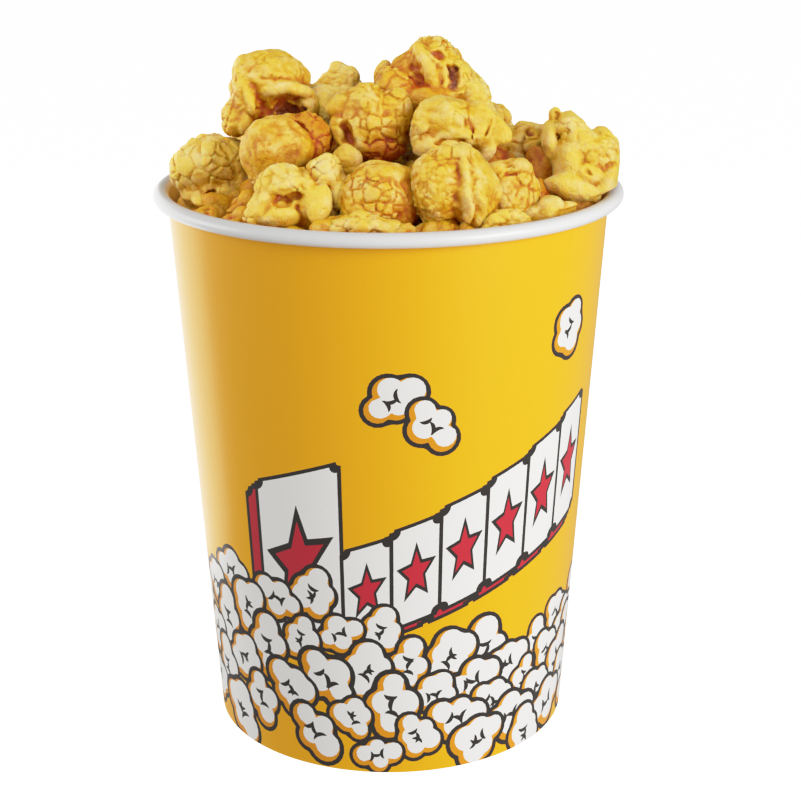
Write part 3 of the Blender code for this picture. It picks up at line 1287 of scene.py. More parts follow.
    def hull(self, kernel: Kernel, points: np.ndarray, torn: np.ndarray) -> np.ndarray:
        """How much brown hull lies at each place: on the hollows' floors, well under the masses' surface.

        Args:
            kernel: The kernel.
            points: Places on its surface, one row each.
            torn: The places as the hollows see them.

        Returns:
            A share from 0 to 1 for each place.
        """
        solid = self.rough_field(kernel, points)[0]
        sunk = np.clip((-solid - self.hull_depth[0]) / self.hull_depth[1], 0.0, 1.0)
        hull = np.zeros(len(points))
        for hollow in kernel.hollows:
            away = np.abs(self.distance(hollow, torn))
            floor = np.clip(1.0 - away / self.hull_width, 0.0, 1.0)
            hull = np.maximum(hull, hollow.hull * np.minimum(1.0, 2.0 * floor) * sunk)
        return hull

    def reach(self, lobe: Lobe) -> np.ndarray:
        """Half size of the upright box around a turned lobe."""
        return np.sqrt(((self.axes(lobe) * np.abs(self.own(lobe.half))) ** 2).sum(axis=1))


def surface_net(values: np.ndarray) -> tuple[np.ndarray, np.ndarray]:
    """Skin the zero level of a grid of distances with four-cornered faces.

    Args:
        values: Distances on a regular grid, below 0 inside.

    Returns:
        Vertices in grid steps, and faces that look outward.
    """
    inside = values < 0.0
    cells = tuple(count - 1 for count in values.shape)
    corners = list(product((0, 1), repeat=3))
    crowd = np.zeros(cells, dtype=np.int8)
    for x, y, z in corners:
        crowd += inside[x : x + cells[0], y : y + cells[1], z : z + cells[2]]
    active = (crowd > 0) & (crowd < 8)
    number = np.full(cells, -1, dtype=np.int64)
    base = np.argwhere(active)
    number[active] = np.arange(len(base))
    total = np.zeros((len(base), 3))
    crossings = np.zeros(len(base))
    for start, end in product(corners, repeat=2):
        if sum(end) != sum(start) + 1 or any(e < s for s, e in zip(start, end)):
            continue
        first = values[tuple((base + start).T)]
        second = values[tuple((base + end).T)]
        crossed = (first < 0.0) != (second < 0.0)
        share = np.where(crossed, first / np.where(crossed, first - second, 1.0), 0.0)
        place = np.array(start) + share[:, None] * (np.array(end) - np.array(start))
        total += place * crossed[:, None]
        crossings += crossed
    points = base + total / crossings[:, None]
    faces = []
    for axis in range(3):
        side, other = (axis + 1) % 3, (axis + 2) % 3
        ahead = np.take(inside, range(1, values.shape[axis]), axis)
        behind = np.take(inside, range(values.shape[axis] - 1), axis)
        for leaving in (True, False):
            edges = np.argwhere((behind & ~ahead) if leaving else (ahead & ~behind))
            kept = (edges[:, side] > 0) & (edges[:, other] > 0)
            kept &= (edges[:, side] < cells[side]) & (edges[:, other] < cells[other])
            edges = edges[kept]
            ring = []
            for back_side, back_other in ((1, 1), (0, 1), (0, 0), (1, 0)):
                cell = edges.copy()
                cell[:, side] -= back_side
                cell[:, other] -= back_other
                ring.append(number[tuple(cell.T)])
            faces.append(np.stack(ring if leaving else ring[::-1], axis=1))
    return points, np.concatenate(faces)


SURROUNDINGS = ((0.9, 1.5), (2.6, 0.30))  # how wide they are in mm, and how much they count
LEVEL = 0.32  # how sunken a level place counts


def cavity_of(points: np.ndarray, faces: np.ndarray) -> np.ndarray:
    """How sunken each place of a mesh is against its surroundings, near and wide.

    Args:
        points: Vertices in millimetres.
        faces: Four-cornered faces.

    Returns:
        A value for each vertex: 0 on a crest, 1 deep in a fold.
    """
    edges = np.concatenate([faces[:, [corner, (corner + 1) % 4]] for corner in range(4)])
    start, end = edges[:, 0], edges[:, 1]
    across = points[faces[:, 2]] - points[faces[:, 0]]
    along = points[faces[:, 3]] - points[faces[:, 1]]
    normals = np.zeros_like(points)
    facing = np.cross(across, along)
    for corner in range(4):
        for axis in range(3):
            normals[:, axis] += np.bincount(faces[:, corner], facing[:, axis], len(points))
    normals /= np.linalg.norm(normals, axis=1)[:, None] + 1e-9
    shared = np.bincount(start, minlength=len(points))[:, None] + 1e-9
    step = np.linalg.norm(points[start] - points[end], axis=1).mean()
    relaxed = points.astype(np.float64)
    sunken = np.zeros(len(points))
    done = 0
    for spread, strength in SURROUNDINGS:
        wanted = max(2, round((spread / step) ** 2))
        for _ in range(wanted - done):
            sums = np.stack(
                [np.bincount(start, relaxed[end, axis], len(points)) for axis in range(3)], axis=1
            )
            relaxed = sums / shared
        done = wanted
        sunken += strength * ((relaxed - points) * normals).sum(axis=1)
    return np.clip(LEVEL + sunken, 0.0, 1.0)


# The heap's front and top, as (across, up, out) in millimetres round each kernel's middle.
# Their tones are partly painted shade and light: lower, rear and tucked-in lobes are deepened as if shaded,
# and some lobes are lightened as if lit.
FRONT_KERNELS = (
    Kernel(
        "far_left",
        Kind.MUSHROOM,
        (-43.0, -8.0, 3.3),
        (
            Lobe((-0.6, 1.8, 0.6), (10.4, 7.8, 9.8), Skin.CRACKED),
            Lobe((0.8, -4.8, -0.4), (8.4, 5.4, 8.2)),
            Lobe((5.0, 0.8, -0.4), (5.6, 8.4, 8.0), roll=14.0, tone=-0.15),
            Lobe((0.6, 6.6, -0.6), (7.6, 3.2, 7.2), Skin.CRACKED, roll=-8.0),
            Lobe((-0.4, -7.8, 5.0), (4.8, 1.7, 3.2), roll=-6.0, tone=-0.1),
        ),
        (Hollow((-1.5, -5.2, 8.8), (4.6, 0.75, 2.6), roll=-9.0, hull=0.35),),
        tone=-0.14,
        seed=3,
    ),
    Kernel(
        "cap",
        Kind.BUTTERFLY,
        (-30.0, -3.0, 23.6),
        (
            Lobe((0.9, 2.4, 0.0), (9.6, 7.4, 9.2)),
            Lobe((-4.6, -1.4, 0.8), (4.6, 8.8, 7.4), Skin.FOLDED, roll=2.0),
            Lobe((-5.6, 5.2, 0.0), (3.3, 3.4, 5.0), roll=-20.0),
            Lobe((-3.8, -2.2, 6.2), (1.8, 5.6, 2.4), roll=16.0, tone=-0.05),
            Lobe((-7.6, -7.0, 1.0), (3.6, 5.0, 4.8), Skin.CRACKED),
            Lobe((-4.6, -9.0, 4.0), (2.5, 3.0, 2.6), tone=0.05),
            Lobe((5.0, -1.2, 5.4), (7.0, 2.3, 3.9), roll=-3.0),
            Lobe((10.2, -3.8, 3.2), (2.4, 3.8, 3.8), roll=14.0),
            Lobe((4.8, -6.2, -1.0), (7.8, 6.8, 6.4), tone=0.35),
        ),
        (
            Hollow((5.5, -5.8, 7.8), (6.1, 2.2, 6.4), roll=-4.0, hull=1.0),
            Hollow((4.6, 1.0, 9.4), (6.0, 0.4, 1.5), roll=-3.0),
        ),
        tone=0.09,
        seed=7,
    ),
    Kernel(
        "smooth",
        Kind.MUSHROOM,
        (-26.6, -21.0, 12.3),
        (
            Lobe((-0.2, -0.5, 1.4), (8.6, 8.4, 8.2)),
            Lobe((4.6, -0.6, 3.4), (4.4, 5.0, 4.6), tone=0.06),
            Lobe((7.0, 2.2, -3.0), (6.4, 6.8, 6.6), Skin.CRACKED, tone=0.3),
            Lobe((3.0, 6.2, -1.5), (3.4, 2.6, 3.6), tone=0.1),
            Lobe((-2.4, -6.6, 2.4), (4.0, 2.8, 3.8), Skin.GRAINY),
            Lobe((-2.7, -1.8, 2.4), (3.4, 4.2, 7.4), Skin.GRAINY, roll=-12.0, tone=0.12),
        ),
        (Hollow((4.2, 6.2, 3.4), (3.2, 0.5, 1.6), roll=-30.0),),
        tone=0.24,
        seed=12,
    ),
    Kernel(
        "flower",
        Kind.BUTTERFLY,
        (-21.3, -35.0, 4.8),
        (
            Lobe((-2.8, 0.6, 0.6), (7.4, 5.8, 7.0), Skin.FOLDED),
            Lobe((-7.4, -3.0, 1.2), (3.2, 5.2, 5.2), roll=-14.0),
            Lobe((6.4, 4.0, 0.4), (4.4, 5.0, 5.4), Skin.CRACKED),
            Lobe((2.6, -1.4, 1.6), (3.0, 6.4, 4.8)),
            Lobe((-3.6, -6.2, 3.6), (4.8, 2.7, 3.9), roll=5.0),
            Lobe((-10.0, -6.0, 0.0), (2.8, 2.8, 3.6), Skin.BLOCKY),
            Lobe((5.7, -4.3, 5.0), (3.0, 5.2, 1.5), roll=-8.0, swing=16.0, tone=-0.12),
            Lobe((9.4, 0.0, -0.6), (3.4, 5.0, 4.6), tone=0.1),
            Lobe((-0.5, -4.6, -1.4), (9.6, 5.6, 5.6), tone=0.3),
        ),
        (Hollow((-2.3, -2.9, 7.4), (3.6, 1.4, 4.4), roll=8.0, hull=0.05),),
        tone=-0.08,
        seed=19,
    ),
    Kernel(
        "centre",
        Kind.MUSHROOM,
        (-4.4, -13.0, 17.3),
        (
            Lobe((1.0, -0.6, 0.0), (9.4, 8.9, 9.0), Skin.BLOCKY),
            Lobe((-5.6, 3.6, -0.6), (5.0, 4.4, 6.0)),
            Lobe((-0.6, 3.2, 1.6), (6.0, 5.6, 7.9), Skin.FOLDED, tone=-0.06),
            Lobe((5.4, 2.4, 0.6), (5.2, 5.6, 6.6), Skin.CRACKED),
            Lobe((-6.6, -2.8, 1.6), (3.0, 4.6, 4.6), roll=14.0),
            Lobe((-3.4, -3.8, 4.2), (2.0, 4.8, 3.6), roll=28.0),
            Lobe((1.6, -6.8, 0.0), (7.4, 3.2, 7.0), Skin.BLOCKY, tone=0.6),
        ),
        (Hollow((-5.7, -4.0, 6.4), (1.2, 3.0, 2.6), roll=22.0, hull=0.35),),
        tone=0.17,
        seed=27,
    ),
    Kernel(
        "loose_lobe",
        Kind.TORN,
        (-10.3, -23.5, 10.3),
        (
            Lobe((0.0, 0.0, 0.0), (3.4, 3.1, 3.4)),
            Lobe((1.6, 0.6, 1.2), (1.9, 2.7, 2.2), roll=20.0),
            Lobe((1.0, -2.4, -1.0), (3.6, 2.8, 3.4), tone=0.15),
        ),
        tone=0.12,
        seed=29,
    ),
    Kernel(
        "bridge",
        Kind.TORN,
        (-16.2, 2.0, 19.0),
        (
            Lobe((0.4, 0.2, 0.6), (6.4, 4.8, 5.8), roll=18.0, tone=-0.15),
            Lobe((4.6, 1.6, 0.6), (4.8, 3.6, 4.4), Skin.CRACKED, roll=8.0),
            Lobe((-3.6, 3.2, 0.4), (2.4, 1.8, 2.2), tone=0.1),
            Lobe((0.0, -5.0, 0.8), (5.2, 4.6, 5.0), tone=0.2),
            Lobe((1.0, -2.6, 7.4), (3.6, 4.8, 4.4), roll=10.0, tone=-0.2),
        ),
        tone=-0.24,
        seed=31,
    ),
    Kernel(
        "back",
        Kind.BUTTERFLY,
        (-12.4, 8.0, 22.6),
        (
            Lobe((0.9, 0.0, 0.0), (4.8, 5.2, 5.0), Skin.GRAINY),
            Lobe((-0.3, 4.2, 0.2), (2.3, 2.4, 2.6)),
            Lobe((2.2, 2.2, 0.4), (2.8, 3.2, 3.4), Skin.CRACKED, roll=30.0),
            Lobe((-2.6, 1.2, 0.8), (2.6, 2.6, 3.2), Skin.CRACKED, tone=0.06),
            Lobe((-5.0, -1.6, 0.4), (3.4, 2.8, 3.2), roll=30.0),
            Lobe((4.4, -1.8, -0.4), (3.0, 4.2, 4.0), Skin.GRAINY, roll=16.0),
            Lobe((-1.0, -5.0, -1.0), (7.0, 5.0, 5.5), tone=0.2),
        ),
        tone=-0.1,
        seed=37,
    ),
    Kernel(
        "front_ball",
        Kind.MUSHROOM,
        (-2.4, -36.0, 3.9),
        (
            Lobe((-0.6, -0.8, 0.2), (9.0, 8.2, 9.0), Skin.BLOCKY),
            Lobe((1.0, 3.4, 0.0), (7.6, 4.4, 8.0)),
            Lobe((5.2, -0.6, -0.8), (5.0, 7.6, 7.4), tone=0.32),
            Lobe((-6.4, -2.2, 1.6), (3.0, 5.2, 5.0), Skin.CRACKED, roll=14.0),
        ),
        tone=0.2,
        seed=41,
    ),
    Kernel(
        "flat",
        Kind.TORN,
        (-5.4, -45.6, -1.2),
        (
            Lobe((0.0, 0.4, 0.0), (6.4, 3.0, 4.6), Skin.CRACKED),
            Lobe((-5.4, -0.4, -0.6), (3.6, 2.4, 3.6), Skin.CRACKED),
            Lobe((5.2, -0.4, -0.4), (3.4, 2.6, 3.8)),
        ),
        facing=(-8.0, 0.0, 0.0),
        seed=43,
    ),
    Kernel(
        "peak",
        Kind.TORN,
        (10.0, -2.0, 26.6),
        (
            Lobe((1.2, 2.8, -0.6), (7.2, 7.2, 7.2), Skin.GRAINY),
            Lobe((5.9, -2.0, -0.4), (6.2, 7.6, 7.4), Skin.GRAINY, roll=24.0, tone=-0.22),
            Lobe((-8.0, -3.4, 0.6), (6.2, 5.2, 6.4), Skin.CRACKED, roll=-18.0, tone=0.24),
            Lobe((-3.8, 0.6, -1.0), (5.8, 5.8, 5.6), tone=0.22),
            Lobe((-0.1, 0.8, 4.2), (2.3, 8.0, 3.6), roll=20.0, tone=-0.06),
            Lobe((10.8, -5.8, 0.4), (4.8, 7.0, 6.4), Skin.GRAINY, roll=20.0, tone=-0.24),
            Lobe((12.3, -9.6, 1.0), (4.0, 5.2, 5.0), Skin.GRAINY, roll=12.0, tone=-0.2),
            Lobe((-11.2, 1.5, -3.4), (2.2, 3.2, 2.4), roll=-18.0),
            Lobe((0.0, -7.2, 1.6), (8.4, 5.0, 6.5), tone=0.32),
        ),
        (
            Hollow((-3.5, 1.2, 6.2), (1.4, 4.6, 2.4), roll=24.0, hull=0.2),
            Hollow((2.6, 4.3, 6.9), (1.7, 1.8, 2.0), roll=24.0, hull=0.6),
            Hollow((5.5, -1.2, 7.4), (2.0, 3.8, 2.6), roll=12.0, hull=1.0),
        ),
        tone=0.12,
        seed=47,
    ),
    Kernel(
        "wing",
        Kind.BUTTERFLY,
        (16.5, -19.0, 16.8),
        (
            Lobe((-3.0, 0.6, 0.0), (8.2, 7.2, 8.0)),
            Lobe((-7.6, 0.2, 1.6), (3.9, 6.4, 5.4), Skin.FOLDED, roll=-10.0),
            Lobe((4.6, 0.0, 0.6), (6.0, 6.0, 4.8), roll=-24.0),
            Lobe((8.4, -0.8, 1.2), (4.4, 3.0, 2.0), roll=-32.0, tone=-0.06),
            Lobe((10.6, -1.8, 1.4), (2.6, 1.5, 1.2), roll=-24.0, tone=-0.08),
            Lobe((7.0, -5.6, 1.6), (2.0, 3.8, 1.8), roll=-26.0, tone=-0.06),
            Lobe((-6.3, -5.0, 2.8), (4.0, 3.0, 4.2)),
            Lobe((-1.4, 1.6, 3.0), (5.4, 4.4, 5.0), Skin.CRACKED, roll=-8.0),
            Lobe((-0.6, -2.6, 3.6), (5.2, 2.8, 4.6), roll=-4.0),
        ),
        (
            Hollow((0.2, -4.8, 7.2), (1.1, 0.7, 2.0), hull=0.6),
            Hollow((-3.4, -4.8, 7.2), (2.6, 0.5, 1.6), roll=-8.0, hull=0.3),
            Hollow((3.2, -0.4, 6.0), (0.4, 4.6, 1.2), roll=6.0),
            Hollow((7.2, -2.6, 4.6), (0.4, 3.8, 1.1), roll=-16.0),
        ),
        seed=53,
    ),
    Kernel(
        "grain",
        Kind.TORN,
        (14.7, -38.0, 6.4),
        (
            Lobe((-3.0, -0.2, 0.0), (7.0, 9.4, 8.0), Skin.GRAINY, tone=0.05),
            Lobe((0.6, 6.0, 0.2), (6.4, 4.2, 6.4), Skin.CRACKED),
            Lobe((4.4, -1.0, 0.4), (6.0, 8.6, 7.6), tone=0.02),
            Lobe((2.9, -1.6, 5.2), (1.8, 7.8, 3.3), roll=4.0, tone=-0.1),
            Lobe((6.2, -1.8, 3.9), (1.8, 7.0, 3.5), roll=12.0, tone=-0.16),
            Lobe((8.6, 0.6, 0.2), (2.6, 5.2, 4.0), roll=20.0, tone=-0.16),
            Lobe((5.4, -7.4, 2.8), (2.0, 3.0, 3.2)),
            Lobe((7.4, -5.6, 0.6), (3.0, 4.0, 4.2), tone=0.2),
        ),
        (
            Hollow((4.4, -1.4, 8.4), (0.4, 4.8, 0.5), roll=9.0),
        ),
        tone=0.06,
        seed=59,
    ),
    Kernel(
        "right",
        Kind.MUSHROOM,
        (28.8, -31.0, 3.9),
        (
            Lobe((0.0, 0.0, 0.0), (7.0, 7.2, 7.0), Skin.CRACKED, tone=0.08),
            Lobe((-3.2, 4.4, 2.6), (2.9, 2.3, 3.4)),
            Lobe((1.8, 4.4, 1.6), (3.8, 3.0, 4.4), tone=0.06),
            Lobe((-1.8, -2.6, 2.2), (5.2, 4.4, 5.2), Skin.FOLDED, roll=-20.0),
        ),
        (
            Hollow((-0.4, 3.2, 7.0), (2.8, 0.5, 1.5), roll=18.0, hull=0.15),
            Hollow((0.6, 0.6, 7.5), (4.4, 0.35, 1.2), roll=-14.0),
        ),
        tone=0.10,
        seed=61,
    ),
    Kernel(
        "low_right",
        Kind.TORN,
        (25.4, -42.2, -1.4),
        (
            Lobe((0.0, 0.2, 0.0), (5.6, 3.6, 5.0), Skin.FOLDED, roll=12.0, tone=0.08),
            Lobe((4.8, 0.0, -1.2), (3.8, 3.0, 4.2), roll=-16.0, tone=0.1),
            Lobe((-3.4, 1.6, 1.0), (2.4, 2.0, 2.4), Skin.CRACKED),
        ),
        tone=-0.12,
        seed=67,
    ),
    Kernel(
        "low_far_right",
        Kind.TORN,
        (37.6, -34.2, -0.4),
        (
            Lobe((0.0, 0.0, 0.0), (3.6, 3.7, 4.2), roll=-20.0),
            Lobe((3.8, -0.4, -1.2), (4.2, 2.8, 4.2), roll=14.0, tone=0.12),
            Lobe((-3.4, -1.2, -1.0), (3.4, 2.8, 3.6), tone=0.1),
        ),
        seed=71,
    ),
    Kernel(
        "shade",
        Kind.BUTTERFLY,
        (33.9, -2.0, 9.2),
        (
            Lobe((0.0, 0.0, 0.0), (5.8, 5.4, 5.6), Skin.CRACKED, tone=0.3),
            Lobe((-4.6, 1.4, 1.0), (3.2, 4.2, 3.6), tone=0.2),
            Lobe((1.6, 4.2, 0.6), (3.6, 2.0, 3.2), tone=0.16),
            Lobe((4.8, 1.2, 1.0), (3.0, 4.2, 3.4), tone=0.25),
            Lobe((-1.6, -4.6, 1.6), (4.4, 3.4, 4.0), tone=0.3),
        ),
        (Hollow((0.0, 2.4, 5.8), (2.4, 0.7, 1.7), hull=0.6),),
        tone=-0.2,
        seed=73,
    ),
    Kernel(
        "shade_low",
        Kind.TORN,
        (37.4, -12.0, 4.6),
        (
            Lobe((0.0, 0.0, 0.0), (3.8, 5.0, 3.8), roll=-12.0, tone=0.25),
            Lobe((-3.6, -2.6, 0.6), (3.4, 4.0, 3.6), Skin.CRACKED, tone=0.25),
            Lobe((-1.2, 3.6, -0.4), (2.8, 3.0, 3.0), tone=0.3),
        ),
        tone=0.4,
        seed=79,
    ),
    Kernel(
        "open",
        Kind.BUTTERFLY,
        (46.2, -14.0, 8.9),
        (
            Lobe((4.2, -0.4, -0.4), (6.4, 6.6, 7.2), Skin.GRAINY, tone=0.28),
            Lobe((-2.6, -2.4, 1.6), (4.2, 6.4, 6.2), tone=-0.12),
            Lobe((-7.0, 3.4, 0.6), (2.2, 5.2, 4.0), roll=4.0),
            Lobe((5.6, -8.4, 2.0), (4.8, 3.2, 3.8), roll=24.0),
            Lobe((-2.6, 6.6, 0.0), (5.2, 3.4, 5.4), Skin.CRACKED),
            Lobe((0.2, 2.6, 1.6), (5.0, 5.4, 5.4), Skin.FOLDED, roll=-6.0),
            Lobe((-5.6, 10.0, 0.0), (1.7, 1.9, 2.0)),
            Lobe((-2.2, 8.9, 0.6), (2.5, 2.2, 2.8), tone=-0.04),
            Lobe((8.0, 2.2, -0.6), (2.3, 3.0, 3.4), roll=-14.0),
            Lobe((5.8, 5.2, -0.4), (3.0, 2.2, 3.4), roll=-24.0),
            Lobe((9.0, -2.4, 1.0), (2.0, 2.4, 3.0)),
            Lobe((-2.4, -8.6, 5.0), (6.6, 3.0, 3.8), roll=-15.0, tone=-0.26),
            Lobe((7.4, -6.0, 2.6), (3.8, 2.9, 3.8), roll=32.0, tone=-0.08),
            Lobe((2.3, -5.2, 4.6), (3.2, 2.0, 3.2)),
            Lobe((1.0, -6.6, 0.2), (7.2, 3.2, 5.0), tone=0.3),
        ),
        (
            Hollow((2.4, -5.0, 7.8), (1.4, 0.7, 1.0)),
            Hollow((-5.4, 9.2, 2.2), (0.8, 1.0, 1.2), hull=0.3),
        ),
        tone=-0.26,
        seed=83,
    ),
)

# Kernels that show between the others and from behind: x, y, height over the rim's top, size
BURIED_PLACES = (
    (5.7, -22.0, 1.0, 6.8),
    (-11.5, -21.5, 2.2, 7.2),
    (12.0, 2.0, 10.0, 9.0),
    (-11.0, -2.0, 7.0, 9.0),
    (24.5, -8.0, 4.0, 8.4),
    (-31.0, -12.0, -1.0, 7.5),
    (-17.0, -33.0, -3.5, 7.0),
    (12.5, -41.5, -4.5, 5.6),
    (33.0, -22.0, -1.0, 7.5),
    (-35.0, -27.0, -8.0, 7.0),
    (45.0, -18.0, -4.5, 7.5),
    (-32.0, -36.5, -9.0, 6.0),
    (-45.5, -18.0, -7.0, 6.4),
    (3.5, -46.0, -10.0, 5.6),
)
REAR_PLACES = (
    (-26.5, 3.0, 8.5, 9.2),
    (-11.0, 10.5, 9.5, 8.8),
    (1.0, 12.0, 11.5, 9.2),
    (27.0, 10.0, 4.5, 8.6),
)
# Rings of the heap's far side: distance from the axis, height, size, first and last angle, count
REAR_RINGS = (
    (43.6, 0.0, 9.8, 4.0, 168.0, 7),
    (27.0, 7.5, 9.6, 38.0, 150.0, 4),
)


def sphere_direction(index: int, count: int) -> Triple:
    """One of a count of directions that are spread evenly over a sphere.

    Args:
        index: Which one, from 0.
        count: How many there are.

    Returns:
        The direction, of length 1.
    """
    up = 1.0 - 2.0 * (index + 0.5) / count
    across = math.sqrt(1.0 - up * up)
    angle = index * GOLDEN_ANGLE
    return (across * math.cos(angle), up, across * math.sin(angle))


def scaled(values: Sequence[float], size: float) -> Triple:
    """Three values times a size."""
    return (values[0] * size, values[1] * size, values[2] * size)


def plain_kernel(name: str, kind: Kind, at: Triple, half: float, seed: int, tone: float = 0.0) -> Kernel:
    """A kernel put together by rule: a round mass, side lobes, and petals or a torn hollow.

    Args:
        name: The kernel's name.
        kind: The piece that it is joined into.
        at: Its middle over the rim's top.
        half: Half its size.
        seed: Picks its lobes and its turn.
        tone: How much deeper in colour it is.

    Returns:
        The kernel.
    """
    draws = np.random.default_rng(seed)
    round_share = (0.88, 0.66, 0.76)[seed % 3]
    skins = ((Skin.CRACKED, Skin.SMOOTH), (Skin.SMOOTH, Skin.GRAINY), (Skin.BLOCKY, Skin.FOLDED))[seed % 3]
    lobes = [Lobe((0.0, 0.0, 0.0), scaled((1.0, 0.94, 0.97), half * round_share), skins[0])]
    count = (5, 9, 7)[seed % 3]
    for index in range(count):
        size = half * draws.uniform(0.30, 0.46)
        place = scaled(sphere_direction(index, count), half * draws.uniform(0.96, 1.06) - size)
        shape = scaled(draws.uniform(0.75, 1.3, 3), size)
        roll, tip = draws.uniform(-60.0, 60.0, 2)
        lobes.append(Lobe(place, shape, skins[index % 2], roll, tip, tone=draws.uniform(-0.06, 0.14)))
    hollows = []
    for index in range(3):
        place = scaled(sphere_direction((seed + 5 * index) % 17, 17), half * 0.9)
        shape = scaled((0.34, 0.09, 0.24), half)
        roll, tip = draws.uniform(-60.0, 60.0, 2)
        hollows.append(Hollow(place, shape, roll, tip, hull=draws.uniform(0.0, 0.9)))
    facing = scaled(draws.uniform(-1.0, 1.0, 3), 180.0)
    return Kernel(name, kind, at, tuple(lobes), tuple(hollows), facing, tone=tone, seed=seed)


def rear_places() -> list[tuple[float, float, float, float]]:
    """Places of the far side's kernels, with the rings' worked out.

    Returns:
        x, y, height over the rim's top and size of each kernel.
    """
    rows = list(REAR_PLACES)
    for distance, height, half, first, last, count in REAR_RINGS:
        for index in range(count):
            angle = math.radians(first + (last - first) * index / (count - 1))
            x, y = distance * math.cos(angle), distance * math.sin(angle)
            size = half * (1.0 + 0.10 * math.cos(5.0 * index))
            rows.append((x, y, height + 2.0 * math.cos(4.0 * index), size))
    return rows


@dataclass
class HeapCore:
    """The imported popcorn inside, a lumpy dome over a plain fill, seen only through the gaps."""

    tub: TubShape = field(default_factory=TubShape)
    finish: CheeseCoatedCorn = field(default_factory=CheeseCoatedCorn)
    bottom: float = 9.9
    edge_drop: float = 11.5  # of the dome's edge, under the rim's top
    dome_rise: float = 15.0
    columns: int = 120
    rings: int = 46
    lumps: tuple[tuple[float, float, int], ...] = ((1.6, 15.0, 5), (0.9, 6.5, 6), (0.3, 2.8, 7))
    # Painted shade: the core, seen only through the gaps, is coloured as deep shade.
    painted_shade_colouring: tuple[tuple[str, float], ...] = (("cavity", 0.70), ("hull", 0.0), ("tone", 0.15))

    @property
    def edge(self) -> float:
        """Distance of the dome's edge from the axis."""
        return self.tub.wall_radius(RIM_TOP - self.edge_drop) - self.tub.board - GAP

    def dome(self, away: float) -> float:
        """Height of the dome over the rim's top at a distance from the axis."""
        return self.dome_rise * (1.0 - (away / self.edge) ** 2) - self.edge_drop

    def build(self) -> bpy.types.Object:
        """Turn the fill's section round the axis and raise lumps on its dome.

        Returns:
            The core's piece.
        """
        foot = self.tub.wall_radius(self.bottom) - self.tub.board - GAP
        angles = TURN * np.arange(self.columns) / self.columns
        circle = np.stack([np.cos(angles), np.sin(angles)], axis=1)
        rows = [np.column_stack([foot * circle, np.full(self.columns, self.bottom)])]
        for ring in range(self.rings):
            share = 1.0 - ring / self.rings
            flat = self.edge * share * circle
            places = np.column_stack([flat, np.zeros(self.columns)])
            lumps = sum(far * waves(places, length, seed) for far, length, seed in self.lumps)
            fade = min(1.0, 6.0 * (1.0 - share))
            rows.append(np.column_stack([flat, RIM_TOP + self.dome(self.edge * share) + fade * lumps]))
        points = np.concatenate(rows + [[(0.0, 0.0, self.bottom), (0.0, 0.0, RIM_TOP + self.dome(0.0))]])
        low_middle, high_middle = len(points) - 2, len(points) - 1
        faces = []
        for column in range(self.columns):
            after = (column + 1) % self.columns
            faces.append((low_middle, after, column, column))
            last = self.rings * self.columns
            faces.append((last + column, last + after, high_middle, high_middle))
            for row in range(self.rings):
                here, above = row * self.columns, (row + 1) * self.columns
                faces.append((here + column, here + after, above + after, above + column))
        piece = mesh_object("packed_popcorn", points, np.array(faces), [self.finish.material()])
        piece.data.set_sharp_from_angle(angle=math.radians(50.0))
        for layer, value in self.painted_shade_colouring:
            point_attribute(piece, layer, np.full(len(piece.data.vertices), value))
        return piece


